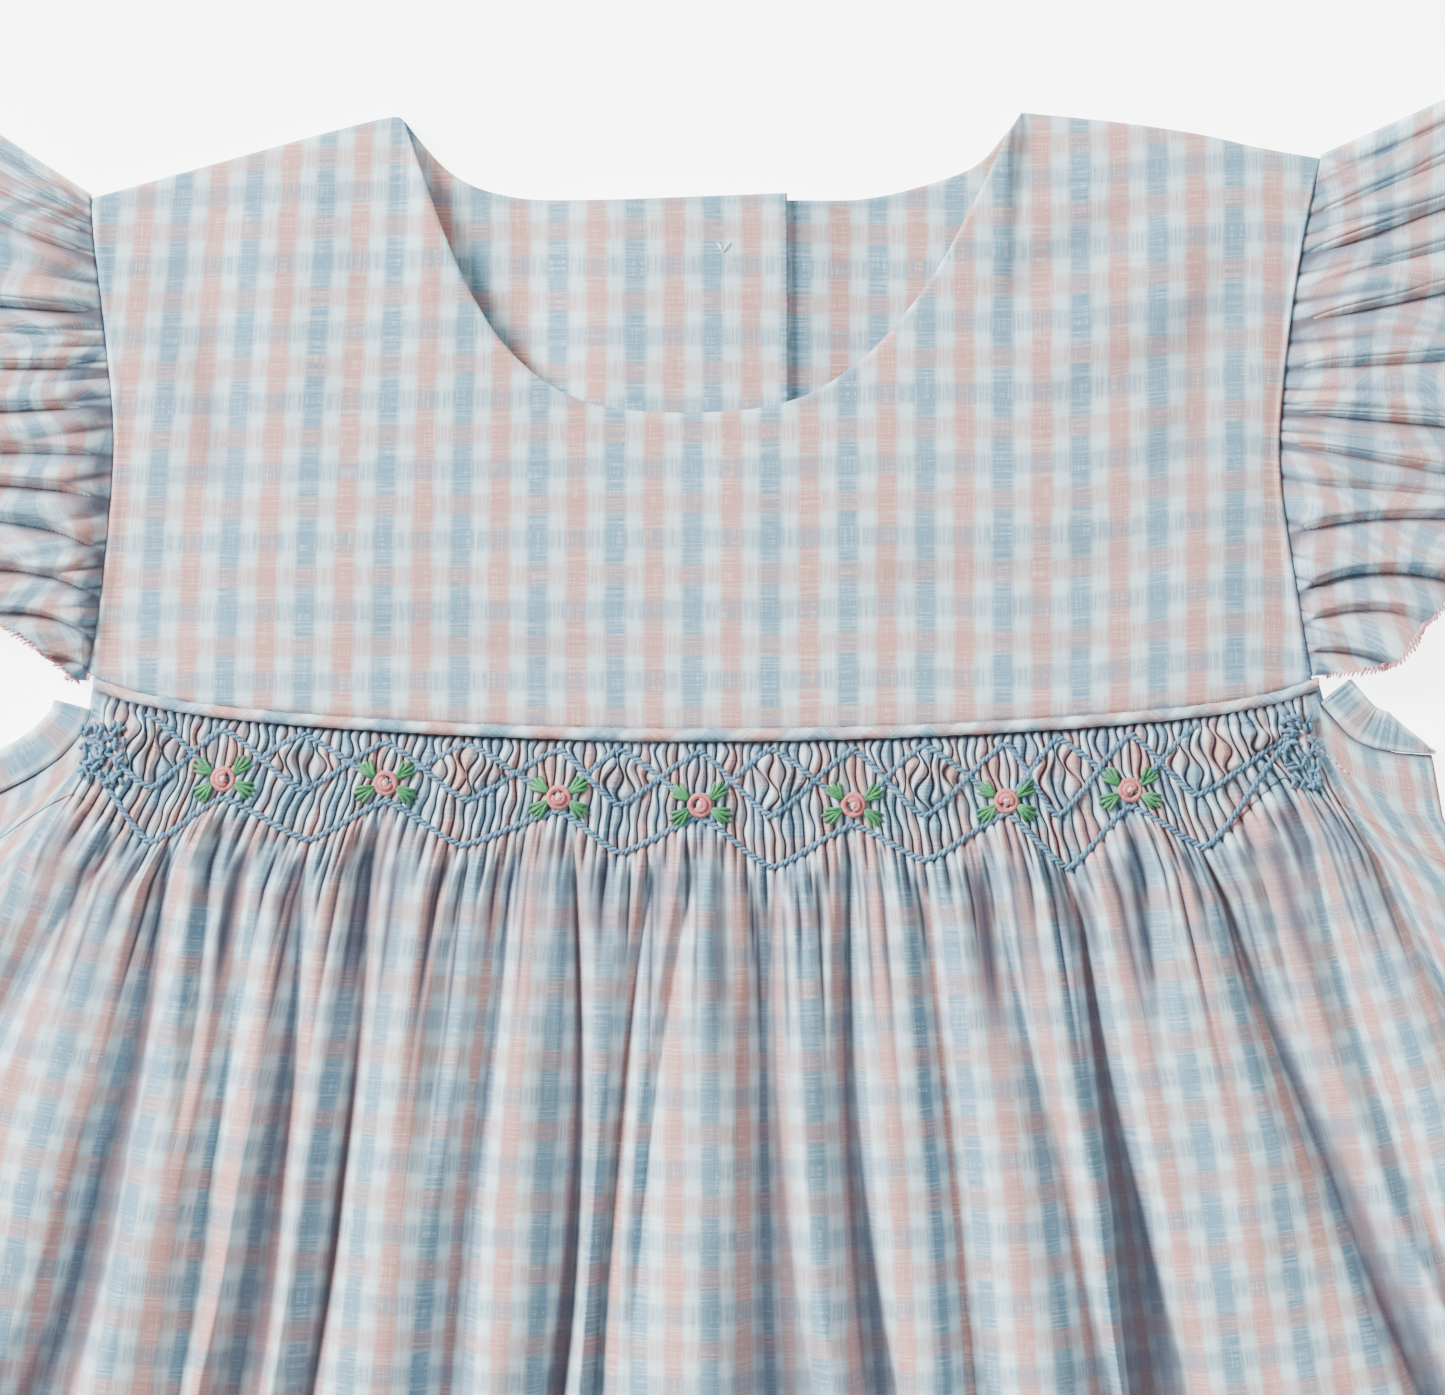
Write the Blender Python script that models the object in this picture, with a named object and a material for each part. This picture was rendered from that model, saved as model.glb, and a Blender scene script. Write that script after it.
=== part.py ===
"""Smocked bubble romper for a child of 12 to 18 months, laid flat with its front up.

X runs across the garment, Y up to its neck and Z up from the surface that it lies on.
The origin is on the flat underside of the back, on the centre line. Sizes are in
millimetres and are turned into metres when a mesh is made.
"""
import math

import bmesh
import bpy

MM = 0.001

# Cloth and seams
WALL = 1.2
SEAM_GAP = 0.3
BACK_TOP = WALL
FRONT_LOW = BACK_TOP + SEAM_GAP + WALL
STEEPEST = 2.4
SLOPE_REACH = 0.4
SHARP_DEGREES = 50.0

# Yoke
SHOULDER_LEFT = ((-111.0, 190.4), (-88.4, 196.7), (-73.0, 201.0), (-57.8, 204.9), (-54.6, 204.6))
SHOULDER_RIGHT = ((56.9, 205.9), (74.5, 204.1), (88.9, 202.0), (99.7, 199.6), (110.9, 197.6))
NECK_FRONT = ((-54.6, 204.6), (-49.7, 190.8), (-44.3, 177.3), (-37.0, 164.7), (-28.0, 156.6),
              (-18.0, 152.6), (-1.0, 151.6), (16.0, 153.9), (29.5, 162.5), (40.3, 175.5),
              (47.5, 188.1), (53.8, 200.7), (56.9, 205.9))
NECK_BACK_LEFT = ((-54.6, 204.6), (-46.0, 195.0), (-35.3, 190.8), (-20.0, 190.0), (-1.0, 190.6),
                  (14.6, 191.2))
NECK_BACK_RIGHT = ((-6.0, 190.0), (15.0, 190.0), (27.7, 190.3), (38.0, 192.4), (48.4, 196.2),
                   (54.0, 202.0), (56.9, 205.9))
ARMHOLE_LEFT = ((-112.0, 103.4), (-109.4, 118.0), (-107.0, 145.0), (-108.5, 165.0),
                (-110.5, 182.0), (-111.0, 190.4))
ARMHOLE_RIGHT = ((109.4, 104.2), (107.0, 118.0), (103.7, 141.0), (104.4, 158.0),
                 (107.0, 178.0), (110.9, 197.6))
ARMHOLE_STEPS = 24
YOKE_CROWN = 3.8
CROWN_POWER = 6
SHOULDER_FROM = 0.42
SHOULDER_OVER = 0.1
SHOULDER_POWER = 5
YOKE_ROWS = 8
YOKE_COLUMNS = 30
BACK_NECK_PART = 0.62
BACK_YOKE_ROWS = 5
BACK_YOKE_COLUMNS = 14
LAP_LEFT_EDGE = 15.3
LAP_RIGHT_EDGE = -6.0
LAP_RIGHT_LIFT = 2.1
LAP_LEFT_LIFT = LAP_RIGHT_LIFT + WALL + SEAM_GAP
LAP_LEFT_RAMP = (16.0, 34.0)
LAP_RIGHT_RAMP = (14.0, 30.0)

# Buttons of the back opening
BUTTON_RADIUS = 5.5
BUTTON_THICK = 1.8
BUTTON_X = 2.9
BUTTON_SIDES = 24
BUTTON_TAPER = 0.5
BUTTONS = (("button_top", 181.4), ("button_middle", 150.0), ("button_lower", 118.0))

# Piping in the seam between yoke and body
PIPING_RADIUS = 1.1
PIPING_END = 110.5
PIPING_CENTRE_Y = 93.6
PIPING_BOW = 5.2
PIPING_END_LIFT = 3.0
PIPING_END_POWER = 12
PIPING_LIFT = 0.3
PIPING_CROWN_SHARE = 0.75
PIPING_STEPS = 44
PIPING_SIDES = 8

# Body
UNDERARM = (131.0, 79.5)
EDGE_LEFT = ((-110.5, 98.6), (-112.0, 94.6), (-116.0, 90.0), (-121.0, 86.4), (-127.0, 83.4),
             (-131.0, 82.0))
EDGE_RIGHT = ((110.5, 99.6), (112.5, 97.2), (116.3, 93.2), (120.4, 91.2), (125.0, 90.4),
              (131.0, 90.0))
SIDE_WIDTHS = ((79.5, 131.0), (73.5, 133.0), (68.0, 139.0), (60.0, 146.0), (21.0, 166.0),
               (-24.0, 182.0), (-60.0, 189.0), (-95.0, 190.0), (-125.0, 184.0))
SIDE_FOOT_Y = -125.0
BAND_SIDE_Y = 68.0
CROTCH_Y = -204.0
CROTCH_SHARE = 0.22
LEG_CLIMB_POWER = 1.3
SIDE_POWER = 8
CREST_HEIGHTS = ((0.0, 2.4), (0.06, 4.5), (0.16, 7.5), (0.35, 10.5), (0.6, 12.0), (0.85, 9.0),
                 (1.0, 1.8))
BAND_CREST = 1.9

# Smocked band: its lower edge rises under each flower and drops between them
PLEATS = 130
PLEAT_HEIGHT = 1.5
PLEAT_SWAY = 0.28
SMOCKED_END = 109.0
BAND_ROWS = (0.0, 0.32, 0.64, 1.0)
PLAIN_COLUMNS = (0.15, 0.3, 0.45, 0.6, 0.8, 1.0)
BACK_COLUMNS = 52
BACK_BAND_ROWS = (0.0, 0.5, 1.0)
BACK_SKIRT_ROWS = (0.1, 0.2, 0.32, 0.45, 0.58, 0.7, 0.82, 0.92, 1.0)
LOWER_WAVE = ((-139.0, 68.0), (-114.0, 83.0), (-100.0, 74.2), (-86.8, 82.3), (-71.6, 74.7),
              (-57.6, 81.7), (-43.9, 73.8), (-26.5, 79.9), (-15.5, 72.4), (-1.1, 78.8),
              (11.7, 69.8), (26.5, 77.4), (39.4, 71.1), (54.0, 79.4), (65.0, 69.7),
              (76.3, 80.8), (89.8, 73.4), (104.0, 86.0), (139.0, 68.0))

# Valleys between the folds of the skirt. The x columns are read at three levels.
VALLEY_LEVELS = (66.0, 21.0, -24.0)
VALLEY_COLUMNS = ("x_top", "x_mid", "x_low", "left", "right", "floor", "depth", "soft", "last")
VALLEYS = (
    (-112.0, -139.0, -158.0, 9.0, 5.0, 6.0, 0.75, 0.3, 1.0),
    (-98.0, -106.0, -119.0, 6.0, 5.0, 9.0, 0.95, 0.2, 0.85),
    (-89.5, -94.5, -100.0, 3.0, 3.0, 0.0, 0.6, 0.6, 0.18),
    (-82.5, -88.0, -94.5, 5.0, 5.0, 0.0, 0.5, 1.0, 0.9),
    (-72.5, -77.0, -84.5, 4.0, 3.0, 8.0, 0.85, 0.2, 0.7),
    (-60.5, -64.6, -71.3, 7.0, 3.0, 1.0, 0.9, 0.0, 1.0),
    (-45.0, -49.5, -54.0, 4.0, 4.0, 0.0, 0.45, 1.0, 0.16),
    (-35.3, -41.0, -46.0, 6.0, 4.0, 3.0, 0.8, 0.4, 0.85),
    (-23.6, -23.0, -27.0, 4.0, 3.0, 2.5, 1.0, 0.1, 1.0),
    (-10.4, -16.0, -19.4, 3.5, 3.0, 0.0, 0.8, 0.2, 0.8),
    (-2.9, -9.9, -12.5, 3.0, 3.0, 0.0, 0.45, 1.0, 0.3),
    (12.4, 11.5, 14.0, 5.0, 4.0, 9.5, 0.95, 0.3, 0.95),
    (25.6, 26.5, 31.5, 3.5, 3.0, 5.0, 0.9, 0.1, 0.7),
    (39.5, 44.0, 48.5, 4.5, 5.5, 3.0, 0.7, 0.8, 0.95),
    (52.0, 62.5, 71.5, 4.5, 3.0, 2.0, 0.7, 0.4, 0.8),
    (66.0, 73.5, 81.0, 3.0, 3.5, 9.5, 1.0, 0.1, 1.0),
    (79.5, 84.5, 90.0, 3.0, 3.0, 0.0, 0.5, 0.8, 0.14),
    (92.5, 111.0, 131.0, 3.0, 5.0, 4.5, 1.0, 0.1, 1.0),
    (100.6, 115.5, 136.0, 2.6, 3.0, 0.0, 0.7, 0.3, 0.16),
    (111.0, 124.0, 146.0, 5.0, 5.0, 2.0, 0.5, 1.0, 0.9),
    (124.0, 148.0, 166.0, 6.0, 6.0, 4.0, 0.55, 0.8, 1.0),
)
LONG_VALLEY = 0.5
VALLEY_FADE = 0.16
VALLEY_START = 0.2
VALLEY_ONSET = 0.05
FLOOR_POWER = 1.5
FOLD_ROUND = 0.4
FOLD_ROUND_FROM = 0.2
SEARCH_ROUNDS = 12
SKIRT_ROWS = (0.035, 0.08, 0.14, 0.21, 0.29, 0.38, 0.48, 0.59, 0.70, 0.80, 0.89, 0.96, 1.0)
LEAST_STEP = 0.0035

# Flutter sleeves: hem points from the fold at the shoulder down to the underarm
SLEEVE_REACH_ROWS = (0.0, 0.16, 0.4, 0.7, 1.0)
SLEEVE_COLUMNS = ("share", "drift", "depth")
SLEEVE_LEFT = {
    "hem": ((-113.4, 103.5), (-127.0, 113.6), (-150.0, 124.0), (-167.0, 146.0), (-173.0, 174.0),
            (-170.0, 204.0), (-160.0, 228.0)),
    "gathers": ((0.05, 0.03, 0.7), (0.12, 0.08, 0.8), (0.20, 0.10, 0.9), (0.265, 0.12, 0.9),
                (0.33, 0.10, 1.0), (0.39, 0.08, 0.8), (0.47, 0.05, 0.9), (0.54, 0.05, 0.8),
                (0.60, 0.04, 0.5), (0.65, 0.03, 1.0), (0.765, 0.10, 0.9), (0.83, 0.09, 0.7),
                (0.89, 0.06, 0.8), (0.95, 0.02, 0.6)),
}
SLEEVE_RIGHT = {
    "hem": ((112.2, 104.5), (124.0, 106.7), (133.0, 117.0), (158.0, 132.0), (173.0, 152.0),
            (177.0, 178.0), (175.0, 204.0), (166.0, 226.0)),
    "gathers": ((0.08, 0.05, 0.8), (0.15, 0.10, 0.7), (0.21, 0.11, 1.0), (0.30, 0.11, 0.9),
                (0.38, 0.05, 0.5), (0.46, -0.01, 0.8), (0.53, 0.0, 1.0), (0.62, 0.02, 0.7),
                (0.70, 0.05, 1.0), (0.76, 0.05, 0.5), (0.82, 0.05, 1.0), (0.885, 0.04, 0.7),
                (0.94, 0.03, 0.6)),
}
SLEEVE_LIFT_SEAM = 2.8
SLEEVE_LIFT_HEM = 8.0
GATHER_SEAM_REACH = 0.03
GATHER_HEM_REACH = 0.05
CREST_SHARES = (0.36, 0.68)
SLEEVE_SIDE_POWER = 6
SLEEVE_BOW = 0.06
SLEEVE_BACK_STEPS = 8
FOLD_BULGE = 0.8
FOLD_INSET = 0.015
FOLD_INSET_POWER = 16
SHARE_STEP = 0.004

# Bindings and bands
BINDING_WIDTH = 6.2
BINDING_THICK = 1.4
BINDING_STEPS = 8
BINDING_START = 0.08
BINDING_END = 0.92
BINDING_CLEARANCE = 0.9
BINDING_RISE = 1.0
STRIP_PROFILE = ((-1, -1), (1, -1), (1, 0.4), (0, 1.0), (-1, 0.4))
STRIP_TURN = 1.6
LEG_BAND_WIDTH = 8.0
LEG_BAND_THICK = 1.6
LEG_BAND_STEPS = 16
LEG_BAND_RISE = 1.5
CROTCH_BAND_DEPTH = 9.0
CROTCH_BAND_THICK = 1.5
CROTCH_BAND_BEVEL = 0.4
CROTCH_BAND_CLEARANCE = 1.0

CHECK_GREEN_WHITE = (0.62, 0.73, 0.76)
PIPING_BLUE = (0.58, 0.70, 0.75)
BUTTON_WHITE = (0.88, 0.88, 0.85)


def clear_scene():
    """Empty the scene of its objects."""
    for thing in list(bpy.data.objects):
        bpy.data.objects.remove(thing)


def clamp(value, low=0.0, high=1.0):
    """Hold a value between two limits."""
    return max(low, min(high, value))


def ease(value):
    """Smooth step from 0 to 1."""
    held = clamp(value)
    return held * held * (3.0 - 2.0 * held)


def along(points, share):
    """Point at a share of the way through a smooth curve's points."""
    place = clamp(share) * (len(points) - 1)
    index = min(int(place), len(points) - 2)
    t = place - index
    before = points[max(index - 1, 0)]
    start = points[index]
    end = points[index + 1]
    after = points[min(index + 2, len(points) - 1)]
    found = []
    for p0, p1, p2, p3 in zip(before, start, end, after):
        bend = 2 * p0 - 5 * p1 + 4 * p2 - p3
        turn = 3 * p1 - p0 - 3 * p2 + p3
        found.append(0.5 * (2 * p1 + (p2 - p0) * t + bend * t * t + turn * t ** 3))
    return tuple(found)


def level(table, value):
    """Read a two-column table at a value, with straight lines between rows."""
    rows = sorted(table)
    if value <= rows[0][0]:
        return rows[0][1]
    for (low, first), (high, second) in zip(rows, rows[1:]):
        if value <= high:
            return first + (second - first) * (value - low) / (high - low)
    return rows[-1][1]


def swing(table, value):
    """Read a table of crests and troughs at a value, with a half wave between rows."""
    for (low, first), (high, second) in zip(table, table[1:]):
        if value <= high:
            turn = clamp((value - low) / (high - low))
            return first + (second - first) * 0.5 * (1.0 - math.cos(math.pi * turn))
    return table[-1][1]


def steps(count):
    """Even shares from 0 to 1."""
    return [index / count for index in range(count + 1)]


def make_material(name, colour, roughness):
    """Plain material of one colour."""
    material = bpy.data.materials.new(name)
    material.use_nodes = True
    shader = material.node_tree.nodes["Principled BSDF"]
    shader.inputs["Base Color"].default_value = (*colour, 1.0)
    shader.inputs["Roughness"].default_value = roughness
    shader.inputs["Metallic"].default_value = 0.0
    return material


def add_object(name, mesh_builder, material):
    """Turn a built mesh, in millimetres, into a shaded object in metres."""
    bmesh.ops.recalc_face_normals(mesh_builder, faces=mesh_builder.faces)
    for vertex in mesh_builder.verts:
        vertex.co *= MM
    mesh = bpy.data.meshes.new(name)
    mesh_builder.to_mesh(mesh)
    mesh_builder.free()
    mesh.shade_smooth()
    mesh.set_sharp_from_angle(angle=math.radians(SHARP_DEGREES))
    mesh.materials.append(material)
    thing = bpy.data.objects.new(name, mesh)
    bpy.context.scene.collection.objects.link(thing)
    return thing


def zip_rows(builder, first, second):
    """Fill the strip between two rows of vertices, which may differ in number."""
    i = 0
    j = 0
    last_i = len(first) - 1
    last_j = len(second) - 1
    while i < last_i or j < last_j:
        if i == last_i or j == last_j:
            step_first = j == last_j
        elif last_i == last_j:
            step_first = i <= j
        else:
            step_first = first[i + 1].co.x <= second[j + 1].co.x
        if step_first:
            builder.faces.new((first[i], first[i + 1], second[j]))
            i += 1
        else:
            builder.faces.new((first[i], second[j + 1], second[j]))
            j += 1


def wall(name, outer, inner, material):
    """Closed wall between an outer and an inner skin, each given as rows of points."""
    builder = bmesh.new()
    skins = []
    for rows in (outer, inner):
        skins.append([[builder.verts.new(point) for point in row] for row in rows])
    for skin in skins:
        for row, following in zip(skin, skin[1:]):
            zip_rows(builder, row, following)
    outer_skin, inner_skin = skins
    zip_rows(builder, outer_skin[0], inner_skin[0])
    zip_rows(builder, outer_skin[-1], inner_skin[-1])
    zip_rows(builder, [row[0] for row in outer_skin], [row[0] for row in inner_skin])
    zip_rows(builder, [row[-1] for row in outer_skin], [row[-1] for row in inner_skin])
    return add_object(name, builder, material)


def ribbon(name, path, width, thick, material, closed=False):
    """Strip swept along a path of (centre, width direction, thickness direction) rows."""
    builder = bmesh.new()
    rings = []
    half = width / 2
    rim = thick / 2
    for centre, across, out in path:
        ring = []
        for side, lift in STRIP_PROFILE:
            point = [c + a * side * half + o * lift * rim for c, a, o in zip(centre, across, out)]
            ring.append(builder.verts.new(point))
        rings.append(ring)
    following = rings[1:] + (rings[:1] if closed else [])
    for ring, after in zip(rings, following):
        for corner in range(len(ring)):
            beside = (corner + 1) % len(ring)
            builder.faces.new((ring[corner], ring[beside], after[beside], after[corner]))
    if not closed:
        builder.faces.new(rings[0])
        builder.faces.new(rings[-1])
    return add_object(name, builder, material)


# Seam between yoke and body


def seam_y(x):
    """Height of the piping's centre line at x."""
    rise = PIPING_BOW * (x / 100.0) ** 2
    return PIPING_CENTRE_Y + rise + PIPING_END_LIFT * (x / PIPING_END) ** PIPING_END_POWER


def seam_clearance():
    """Distance from the piping's centre line to the cloth on either side."""
    return PIPING_RADIUS + SEAM_GAP


# Yoke


def armhole_x(y, side):
    """Yoke's edge at a height, on the left for side -1 and on the right for side 1."""
    armhole = ARMHOLE_LEFT if side < 0 else ARMHOLE_RIGHT
    curve = [along(armhole, share) for share in steps(ARMHOLE_STEPS)]
    return level([(point[1], point[0]) for point in curve], y) - side * SEAM_GAP / 2


def yoke_foot(x):
    """Point of the yoke's lower edge at x."""
    return x, seam_y(x) + seam_clearance()


def yoke_point(foot, top, rise, share, side):
    """Place between a column's foot and top, drawn out to the armhole near the side."""
    x = foot[0] + (top[0] - foot[0]) * rise
    y = foot[1] + (top[1] - foot[1]) * rise
    shoulder = SHOULDER_LEFT[0] if side < 0 else SHOULDER_RIGHT[-1]
    corner = yoke_foot(armhole_x(0.0, side))
    straight = corner[0] + (shoulder[0] - corner[0]) * rise
    return x + (armhole_x(y, side) - straight) * abs(share) ** CROWN_POWER, y


def yoke_lift(share, rise):
    """Height of the front yoke's upper side over its edge."""
    side = 1.0 - abs(share) ** CROWN_POWER
    shoulder = ease((abs(share) - SHOULDER_FROM) / SHOULDER_OVER)
    return YOKE_CROWN * side * (1.0 - shoulder * rise ** SHOULDER_POWER)


def front_yoke(material):
    """Front yoke with its scooped neck, one smooth panel over the two back yokes."""
    neck_share = 0.5
    left_foot = armhole_x(0.0, -1)
    right_foot = armhole_x(0.0, 1)
    outer = []
    inner = []
    for rise in steps(YOKE_ROWS):
        outer_row = []
        inner_row = []
        for part in steps(YOKE_COLUMNS):
            share = 2.0 * part - 1.0
            if share < -neck_share:
                top = along(SHOULDER_LEFT, (share + 1.0) / (1.0 - neck_share))
            elif share > neck_share:
                top = along(SHOULDER_RIGHT, (share - neck_share) / (1.0 - neck_share))
            else:
                top = along(NECK_FRONT, (share + neck_share) / (2.0 * neck_share))
            foot = yoke_foot(left_foot + (right_foot - left_foot) * part)
            side = -1 if share < 0 else 1
            x, y = yoke_point(foot, top, rise, share, side)
            z = FRONT_LOW + yoke_lift(share, rise)
            outer_row.append((x, y, z))
            inner_row.append((x, y, z - WALL))
        outer.append(outer_row)
        inner.append(inner_row)
    wall("front_yoke", outer, inner, material)


def back_yoke(name, neck, shoulder, side, lap_x, lift, ramp, material):
    """Half of the back yoke, flat but for its button lap, which lies over or under the other."""
    outer = []
    inner = []
    for rise in steps(BACK_YOKE_ROWS):
        outer_row = []
        inner_row = []
        for share in steps(BACK_YOKE_COLUMNS):
            if share <= BACK_NECK_PART:
                top = along(neck, share / BACK_NECK_PART)
            else:
                top = along(shoulder, (share - BACK_NECK_PART) / (1.0 - BACK_NECK_PART))
            foot = yoke_foot(lap_x + (armhole_x(0.0, side) - lap_x) * share)
            x, y = yoke_point(foot, top, rise, share, side)
            z = lift * ease((ramp[1] - side * x) / (ramp[1] - ramp[0]))
            outer_row.append((x, y, z))
            inner_row.append((x, y, z + WALL))
        outer.append(outer_row)
        inner.append(inner_row)
    wall(name, outer, inner, material)


def buttons(material):
    """Round buttons of the back opening, under the laps."""
    for name, y in BUTTONS:
        builder = bmesh.new()
        bmesh.ops.create_cone(builder, cap_ends=True, segments=BUTTON_SIDES,
                              radius1=BUTTON_RADIUS, radius2=BUTTON_RADIUS - BUTTON_TAPER,
                              depth=BUTTON_THICK)
        for vertex in builder.verts:
            vertex.co.x += BUTTON_X
            vertex.co.y += y
            vertex.co.z += BUTTON_THICK / 2
        add_object(name, builder, material)


def piping(material):
    """Piping cord along the seam between yoke and smocked band."""
    builder = bmesh.new()
    rings = []
    for share in steps(PIPING_STEPS):
        x = PIPING_END * (2.0 * share - 1.0)
        z = piping_z(x)
        ring = []
        for side in range(PIPING_SIDES):
            turn = 2.0 * math.pi * side / PIPING_SIDES
            y = seam_y(x) + PIPING_RADIUS * math.cos(turn)
            ring.append(builder.verts.new((x, y, z + PIPING_RADIUS * math.sin(turn))))
        rings.append(ring)
    for ring, after in zip(rings, rings[1:]):
        for side in range(PIPING_SIDES):
            beside = (side + 1) % PIPING_SIDES
            builder.faces.new((ring[side], ring[beside], after[beside], after[side]))
    builder.faces.new(rings[0])
    builder.faces.new(rings[-1])
    add_object("piping", builder, material)


def piping_z(x):
    """Height of the piping's centre, which follows the yoke's crown."""
    crown = PIPING_CROWN_SHARE * YOKE_CROWN * (1.0 - abs(x / PIPING_END) ** CROWN_POWER)
    return FRONT_LOW + PIPING_LIFT + crown


# Body


def top_y(x):
    """Upper edge of the body, along the piping and then down the armhole."""
    if abs(x) <= PIPING_END:
        return seam_y(x) - seam_clearance()
    return level(EDGE_LEFT if x < 0 else EDGE_RIGHT, x)


def bottom_y(share):
    """Lower edge of the body: the crotch, then up along the leg opening."""
    climb = clamp((abs(share) - CROTCH_SHARE) / (1.0 - CROTCH_SHARE))
    return CROTCH_Y + (SIDE_FOOT_Y - CROTCH_Y) * climb ** LEG_CLIMB_POWER


def half_width(side_y):
    """Half width of the body where its side is at side_y."""
    return level(SIDE_WIDTHS, side_y)


def wave_y(share):
    """Height of the smocking's lower edge at a share of the width."""
    return swing(LOWER_WAVE, share * half_width(BAND_SIDE_Y))


def band_point(share, drop):
    """Place on the smocked band: share across, drop from its top edge to its lower wave."""
    side_y = UNDERARM[1] + (BAND_SIDE_Y - UNDERARM[1]) * drop
    start = top_y(share * UNDERARM[0])
    return share * half_width(side_y), start + (wave_y(share) - start) * drop


def skirt_point(share, drop):
    """Place on the skirt: share across, drop from the smocking to the leg openings."""
    side_y = BAND_SIDE_Y + (SIDE_FOOT_Y - BAND_SIDE_Y) * drop
    x = share * half_width(side_y)
    start = wave_y(share)
    return x, start + (bottom_y(share) - start) * drop


def find_share(x, y):
    """Share and drop of the skirt's point at x and y."""
    share = x / half_width(y)
    drop = 0.0
    for _ in range(SEARCH_ROUNDS):
        start = wave_y(clamp(share, -1.0, 1.0))
        drop = clamp((start - y) / (start - bottom_y(share)))
        side_y = BAND_SIDE_Y + (SIDE_FOOT_Y - BAND_SIDE_Y) * drop
        share = x / half_width(side_y)
    return share, drop


def read_valleys():
    """Valleys of the skirt as named values, with their places as shares of the width."""
    valleys = []
    for row in VALLEYS:
        valley = dict(zip(VALLEY_COLUMNS, row))
        marks = []
        for name, y in zip(("x_top", "x_mid", "x_low"), VALLEY_LEVELS):
            share, drop = find_share(valley[name], y)
            marks.append((drop, share))
        valley["marks"] = marks
        valleys.append(valley)
    return valleys


def valley_share(valley, drop):
    """Share across at which a valley lies, at a drop below the smocking."""
    (d0, s0), (d1, s1), (d2, s2) = valley["marks"]
    at = clamp(drop, 0.0, d2)
    first = s0 * (at - d1) * (at - d2) / ((d0 - d1) * (d0 - d2))
    second = s1 * (at - d0) * (at - d2) / ((d1 - d0) * (d1 - d2))
    third = s2 * (at - d0) * (at - d1) / ((d2 - d0) * (d2 - d1))
    return first + second + third


def floor_width(valley, drop):
    """Width of a valley's flat floor, which opens as the valley runs down."""
    return valley["floor"] * clamp(drop / valley["marks"][-1][0]) ** FLOOR_POWER


def groove(valley, offset, drop):
    """How far a valley pulls the cloth down at an offset in millimetres, from 0 to 1."""
    reach = valley["left"] if offset < 0 else valley["right"]
    beyond = max(abs(offset) - floor_width(valley, drop) / 2, 0.0)
    near = 1.0 - clamp(beyond / reach)
    sharp = near * near
    soft = ease(near)
    return sharp + (soft - sharp) * valley["soft"]


def roundness(valleys, share, drop):
    """How a fold falls away from its middle to the long valleys at its sides."""
    long_ones = [valley for valley in valleys if valley["last"] > LONG_VALLEY]
    marks = [-1.0] + [valley_share(valley, drop) for valley in long_ones] + [1.0]
    for low, high in zip(marks, marks[1:]):
        if share <= high:
            off = 2.0 * clamp((share - low) / max(high - low, LEAST_STEP)) - 1.0
            return 1.0 - FOLD_ROUND * ease(drop / FOLD_ROUND_FROM) * off * off
    return 1.0


def skirt_height(valleys, share, drop):
    """Height of the skirt's outer side over its lowest level."""
    side_y = BAND_SIDE_Y + (SIDE_FOOT_Y - BAND_SIDE_Y) * drop
    width = half_width(side_y)
    crest = level(CREST_HEIGHTS, drop) * (1.0 - clamp(abs(share)) ** SIDE_POWER)
    height = crest * roundness(valleys, share, drop)
    for valley in valleys:
        fade = 1.0 - ease((drop - valley["last"]) / VALLEY_FADE + 0.5)
        onset = ease(drop / VALLEY_ONSET + VALLEY_START)
        offset = (share - valley_share(valley, drop)) * width
        height *= 1.0 - valley["depth"] * fade * onset * groove(valley, offset, drop)
    return height


def skirt_columns(valleys, drop):
    """Shares of the skirt's columns at a drop: beside and in each valley, and between them."""
    side_y = BAND_SIDE_Y + (SIDE_FOOT_Y - BAND_SIDE_Y) * drop
    width = half_width(side_y)
    columns = [-1.0]
    for valley in valleys:
        centre = valley_share(valley, drop)
        floor = floor_width(valley, drop) / 2
        left = centre - (floor + 0.5 * valley["left"]) / width
        columns.append((columns[-1] + left) / 2)
        columns.append(left)
        columns.append(centre - floor / width)
        columns.append(centre + floor / width)
        columns.append(centre + (floor + 0.5 * valley["right"]) / width)
    columns.append((columns[-1] + 1.0) / 2)
    columns.append(1.0)
    for index in range(1, len(columns)):
        columns[index] = max(columns[index], columns[index - 1] + LEAST_STEP)
    columns[-1] = 1.0
    for index in range(len(columns) - 2, 0, -1):
        columns[index] = min(columns[index], columns[index + 1] - LEAST_STEP)
    return columns


def with_plain_ends(middle):
    """Shares of a middle part's columns, with those of the plain cloth at either end."""
    end = SMOCKED_END / UNDERARM[0]
    plain = [end] + [end + (1.0 - end) * s for s in PLAIN_COLUMNS]
    inside = [share for share in middle if abs(share) < end - LEAST_STEP]
    return [-s for s in reversed(plain)] + inside + plain


def smocked_columns():
    """Shares of the pleats' crests and valleys, and of the plain cloth at either end."""
    end = SMOCKED_END / UNDERARM[0]
    return with_plain_ends([end * (2.0 * s - 1.0) for s in steps(2 * PLEATS)])


def pleat_height(index, count_before):
    """Raised on each crest of the pleats, and nothing in their valleys."""
    place = index - count_before
    inside = 0 < place < 2 * PLEATS
    return PLEAT_HEIGHT if inside and place % 2 == 1 else 0.0


def band_height(share, drop):
    """Height of the smocked band's valleys over the body's lowest level."""
    start = BAND_CREST + (CREST_HEIGHTS[0][1] - BAND_CREST) * drop
    return start * (1.0 - clamp(abs(share)) ** SIDE_POWER)


def upright_wall(slope):
    """Upright thickness that keeps the wall full where its side is steep."""
    return WALL * min(math.sqrt(1.0 + slope * slope), STEEPEST)


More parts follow.
